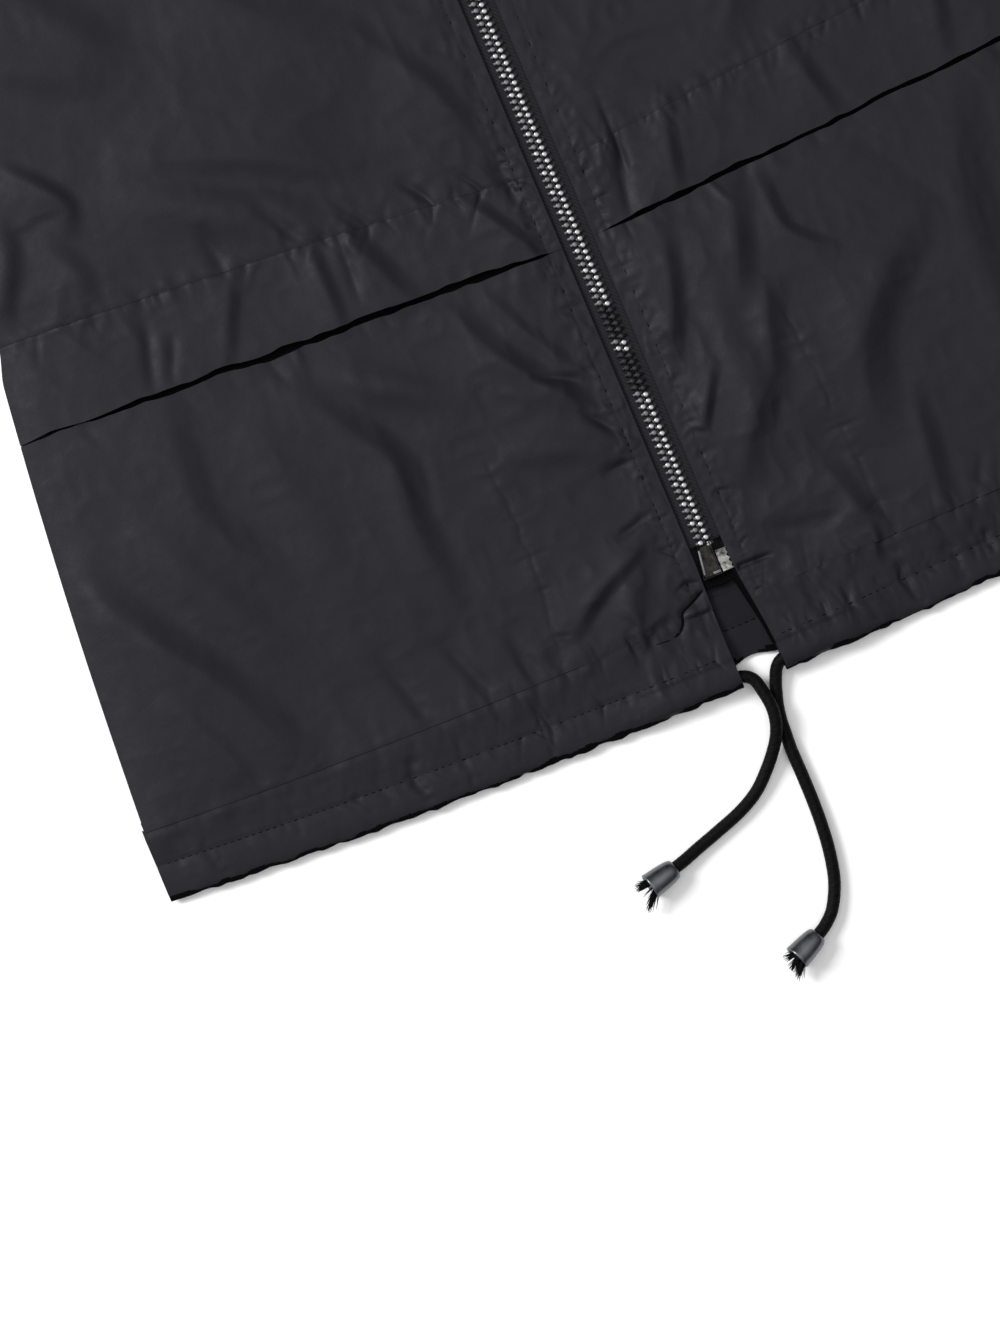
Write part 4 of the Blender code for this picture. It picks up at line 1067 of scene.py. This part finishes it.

# Teeth: a domed head on a bar that reaches past the middle, the two sides half a pitch apart.
# Bars are painted a duller grey as shade, and so are two of three heads on the right. In one stretch all is painted
# dark as shade, but a short part where the chain catches the light.
bm = bmesh.new()
count = int((zipSet["to"] - zipSet["from"]) / zipSet["pitch"])
for side in (1, -1):
    for k in range(count):
        y = zipSet["from"] + (k + (0.5 if side < 0 else 0.0)) * zipSet["pitch"]
        wobble = 0.05 * sin(k * 2.3 + side) + 0.04 * sin(k * 0.7)
        place = (Matrix.Translation((side * zipSet["headX"], y - middleY, zipSet["height"]))
                 @ Matrix.Rotation(wobble, 4, "X") @ Matrix.Rotation(wobble, 4, "Z"))
        head = bmesh.ops.create_uvsphere(bm, u_segments=8, v_segments=5, radius=1.0,
                                         matrix=place @ Matrix.Diagonal((*zipSet["head"], 1.0)))
        bar = bmesh.ops.create_cube(bm, size=1.0, matrix=place @ Matrix.Translation((side * 0.00015, 0.0, -0.0006))
                                    @ Matrix.Diagonal((*zipSet["bar"], 1.0)))
        dark = (zipSet["shadedStretch"][0] < y < zipSet["shadedStretch"][1]
                and not zipSet["litStretch"][0] < y < zipSet["litStretch"][1])
        for vert in bar["verts"] + (head["verts"] if dark or side < 0 and k % 3 else []):
            for face in vert.link_faces:
                face.material_index = 2 if dark else 1
teeth = addPiece("zip_teeth", meshFrom(bm, "zip_teeth"), nickelTeeth)
teeth.data.materials.append(nickelShadeHighlightPainted)
teeth.data.materials.append(nickelShadePainted)
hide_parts("zip_chain")
print("zip teeth:", 2 * count)


def roundEdges(bm, edges, offset):
    bmesh.ops.bevel(bm, geom=edges, offset=offset, offset_type="OFFSET", affect="EDGES", segments=2, profile=0.5, material=-1)


# Foot of the zip: the box that holds one side, with a sunk face, and the pin of the other, with cross grooves
def footBlock(name, size, centre, grooves, inset, deep, taper):
    bm = bmesh.new()
    bmesh.ops.create_cube(bm, size=1.0)
    bmesh.ops.scale(bm, vec=size, verts=bm.verts)
    for vert in bm.verts:
        if vert.co.y > 0 and vert.co.x < 0:
            vert.co.x += taper
    if grooves:
        long = [e for e in bm.edges if abs(e.verts[0].co.y - e.verts[1].co.y) > size[1] * 0.5]
        bmesh.ops.subdivide_edges(bm, edges=long, cuts=2 * grooves + 1)
        rings = sorted({round(v.co.y, 6) for v in bm.verts})
        for vert in bm.verts:
            if vert.co.z > 0 and rings.index(round(vert.co.y, 6)) % 2 and abs(vert.co.y) < size[1] * 0.49:
                vert.co.z -= deep
                vert.co.x *= 0.94
    else:
        top = [f for f in bm.faces if f.normal.z > 0.9]
        bmesh.ops.inset_region(bm, faces=top, thickness=inset)
        top = [f for f in bm.faces if f.normal.z > 0.9 and f.calc_area() > 0.3 * size[0] * size[1]]
        bmesh.ops.translate(bm, vec=(0, 0, -deep), verts=list({v for f in top for v in f.verts}))
        for face in bm.faces:
            spot = face.calc_center_median()
            left = spot.x < -0.15 * size[0] and abs(spot.y) < 0.3 * size[1]
            if left and spot.z > size[2] * 0.4 and face not in top:
                face.material_index = 1      # the rim's left side in lighter metal: a painted highlight
    sharp = [e for e in bm.edges if len(e.link_faces) == 2 and e.calc_face_angle() > 0.6]
    roundEdges(bm, sharp, 0.00025)
    bmesh.ops.translate(bm, vec=(centre[0], centre[1] - middleY, centre[2]), verts=bm.verts)
    bmesh.ops.recalc_face_normals(bm, faces=bm.faces)
    return meshFrom(bm, name)


# Blocks: size, centre, grooves, inset, depth, taper
footSet = {"zip_foot_box": ((0.0088, 0.0150, 0.0036), (-0.0023, 0.0572, 0.0044), 0, 0.0013, 0.0009, 0.0028),
           "zip_foot_pin": ((0.0054, 0.0100, 0.0032), (0.0053, 0.0551, 0.0046), 3, 0.0008, 0.0007, 0.0)}
# Painted highlights on the box's lip and left rim: x, y, turn in degrees, width, length
lipSet = {"bars": ((0.0002, 0.0511, 0.0, 0.0036, 0.0013), (-0.0046, 0.0572, -8.8, 0.0010, 0.0112)), "z": 0.0061, "wall": 0.0006}
box = addPiece("zip_foot_box", footBlock("zip_foot_box", *footSet["zip_foot_box"]), darkEnamel)
box.data.materials.append(nickelShadeHighlightPainted)
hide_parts("zip_retainer_box")
pin = addPiece("zip_foot_pin", footBlock("zip_foot_pin", *footSet["zip_foot_pin"]), blotchedNickel)
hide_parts("zip_insert_pin")
bm = bmesh.new()
for x, y, turn, wide, long in lipSet["bars"]:
    place = Matrix.Translation((x, y - middleY, lipSet["z"])) @ Matrix.Rotation(radians(turn), 4, "Z")
    bmesh.ops.create_cube(bm, size=1.0, matrix=place @ Matrix.Diagonal((wide, long, lipSet["wall"], 1.0)))
roundEdges(bm, bm.edges, 0.0002)
addPiece("zip_foot_lip_highlight", meshFrom(bm, "zip_foot_lip_highlight"), nickelShadeHighlightPainted)
# sealed end of the tapes under the box, in near-black cloth that is painted shade for the dark gap below the box, and
# the left front's edge rolled under beside the gap, in near-black cloth that is painted shade
tapeEndShadeSet = {"x": (-0.0078, 0.0083), "y": (0.0450, 0.0520), "z": 0.0031}


def tapeEndShadeLay(u, v):
    x = mix(*tapeEndShadeSet["x"], u)
    y = mix(*tapeEndShadeSet["y"], v) + 0.0004 * np.sin(9.0 * u)
    return x, y, tapeEndShadeSet["z"] + 0.0002 * np.sin(pi * u)


# painted shade: a near-black strip down the left front's edge, standing in for the shade under it
def edgeRollLay(u, v):
    y = mix(0.0130, 0.0600, v)
    wide = mix(0.0012, 0.0026, ease(v * 1.4)) * ease((1.0 - v) / 0.08)
    x = frontEdge(1, y) + 0.0002 - wide * u
    top = frontSurface(frontEdge(1, y) + 0.0002, y)
    return x, y, mix(top, 0.0024, u ** 1.6)


tapeEndShade = addPiece("zip_tape_end_shade", layGrid("zip_tape_end_shade", 24, 8, tapeEndShadeLay), pocketingAndShade)
roll = addPiece("front_edge_roll_left", layGrid("front_edge_roll_left", 8, 60, edgeRollLay), nylonShadePainted)
for piece in (tapeEndShade, roll):
    addWall(piece, 0.0005)
for node in ("zip_slider", "zip_pull_tab"):
    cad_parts[node].data.materials.clear()
    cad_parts[node].data.materials.append(gunmetal)
print("zip made")

# Sewing: 3.2 mm stitches. The thread is 0.3 mm thick, drawn at 0.5 mm so that it shows.
sewing = {"pitch": 0.0032, "length": 0.0026, "thick": 0.00050, "onCasing": 0.00032, "onFront": 0.00014, "backZ": 0.00175}


def sewLine(bm, points):
    for i in range(len(points) - 1):
        a, b = Vector(points[i]), Vector(points[i + 1])
        thread = Matrix.Diagonal((sewing["length"] / 2, sewing["thick"] / 2, sewing["thick"] / 2, 1.0))
        bmesh.ops.create_icosphere(bm, subdivisions=1, radius=1.0, matrix=aimed((a + b) / 2, b - a, "X", "Z") @ thread)


for side, word in bothSides:
    bm = bmesh.new()
    # the casing's two lines: place and start
    for place, start in ((7.0, 0.012), (8.85, 0.240)):
        u = np.linspace(start, 0.985, int((0.985 - start) * 0.268 / sewing["pitch"]))
        x, y, z = casingSpot(side, u, np.full(u.shape, place))
        sewLine(bm, np.column_stack((x, y - middleY, z + sewing["onCasing"])))
    y = np.arange(0.046, 0.600, sewing["pitch"])
    y = y[np.abs(y - slitY(cut["placketSewn"])) > 0.003]
    x = np.full(y.shape, side * cut["placketSewn"])
    sewLine(bm, np.column_stack((x, y - middleY, frontSurface(x, y) + sewing["onFront"])))
    addPiece("sewing_" + word, meshFrom(bm, "sewing_" + word), sewingThread)
bm = bmesh.new()
x = np.arange(-0.030, 0.030, sewing["pitch"])
sewLine(bm, np.column_stack((x, cut["backSewn"] + 0.4 * hemY(x) - middleY, np.full(x.shape, sewing["backZ"]))))
addPiece("sewing_back_hem", meshFrom(bm, "sewing_back_hem"), sewingThread)
print("sewing made")

# Floor and light: white paper, a soft ceiling and one large light from the collar's side
lightSet = {"key": 290.0, "keySize": 2.0, "keySpot": (-3.09, 2.30, 3.34), "aim": (-0.10, -0.33, 0.0)}
bm = bmesh.new()
bmesh.ops.create_grid(bm, x_segments=2, y_segments=2, size=4.0)
floorMesh = meshFrom(bm, "floor")
floor = bpy.data.objects.new("floor", floorMesh)
floor.location = (0.0, 0.0, -0.0002)
scene.collection.objects.link(floor)
paper, tree, shader = newMaterial("whitePaper", Roughness=0.95, Specular_IOR_Level=0.1)
tint(shader, "#f7f7f7", "#fbfbfb", speckle(tree, objectPlace(tree), 0.0025, 2.0))
floorMesh.materials.append(paper)

world = bpy.data.worlds.new("studio")
scene.world = world
world.use_nodes = True
tree = world.node_tree
way = addNode(tree, "ShaderNodeTexCoord")
parts = addNode(tree, "ShaderNodeSeparateXYZ", {}, {0: way.outputs["Generated"]})
ramp = addNode(tree, "ShaderNodeValToRGB", {}, {0: parts.outputs["Z"]})
stops = ((0.0, 0.05), (0.35, 0.10), (0.60, 0.27), (0.80, 0.65), (0.93, 1.45), (1.0, 1.70))
while len(ramp.color_ramp.elements) < len(stops):
    ramp.color_ramp.elements.new(0.5)
for element, (at, bright) in zip(ramp.color_ramp.elements, stops):
    element.position = at
    element.color = (bright, bright, bright, 1.0)
tree.links.new(ramp.outputs["Color"], tree.nodes["Background"].inputs["Color"])

keyData = bpy.data.lights.new("key", "AREA")
keyData.energy = lightSet["key"]
keyData.shape = "SQUARE"
keyData.size = lightSet["keySize"]
key = bpy.data.objects.new("key", keyData)
key.location = lightSet["keySpot"]
key.rotation_euler = (Vector(lightSet["aim"]) - Vector(lightSet["keySpot"])).to_track_quat("-Z", "Y").to_euler()
scene.collection.objects.link(key)
scene.view_settings.view_transform = "Standard"
scene.view_settings.look = "None"
print("stage made")
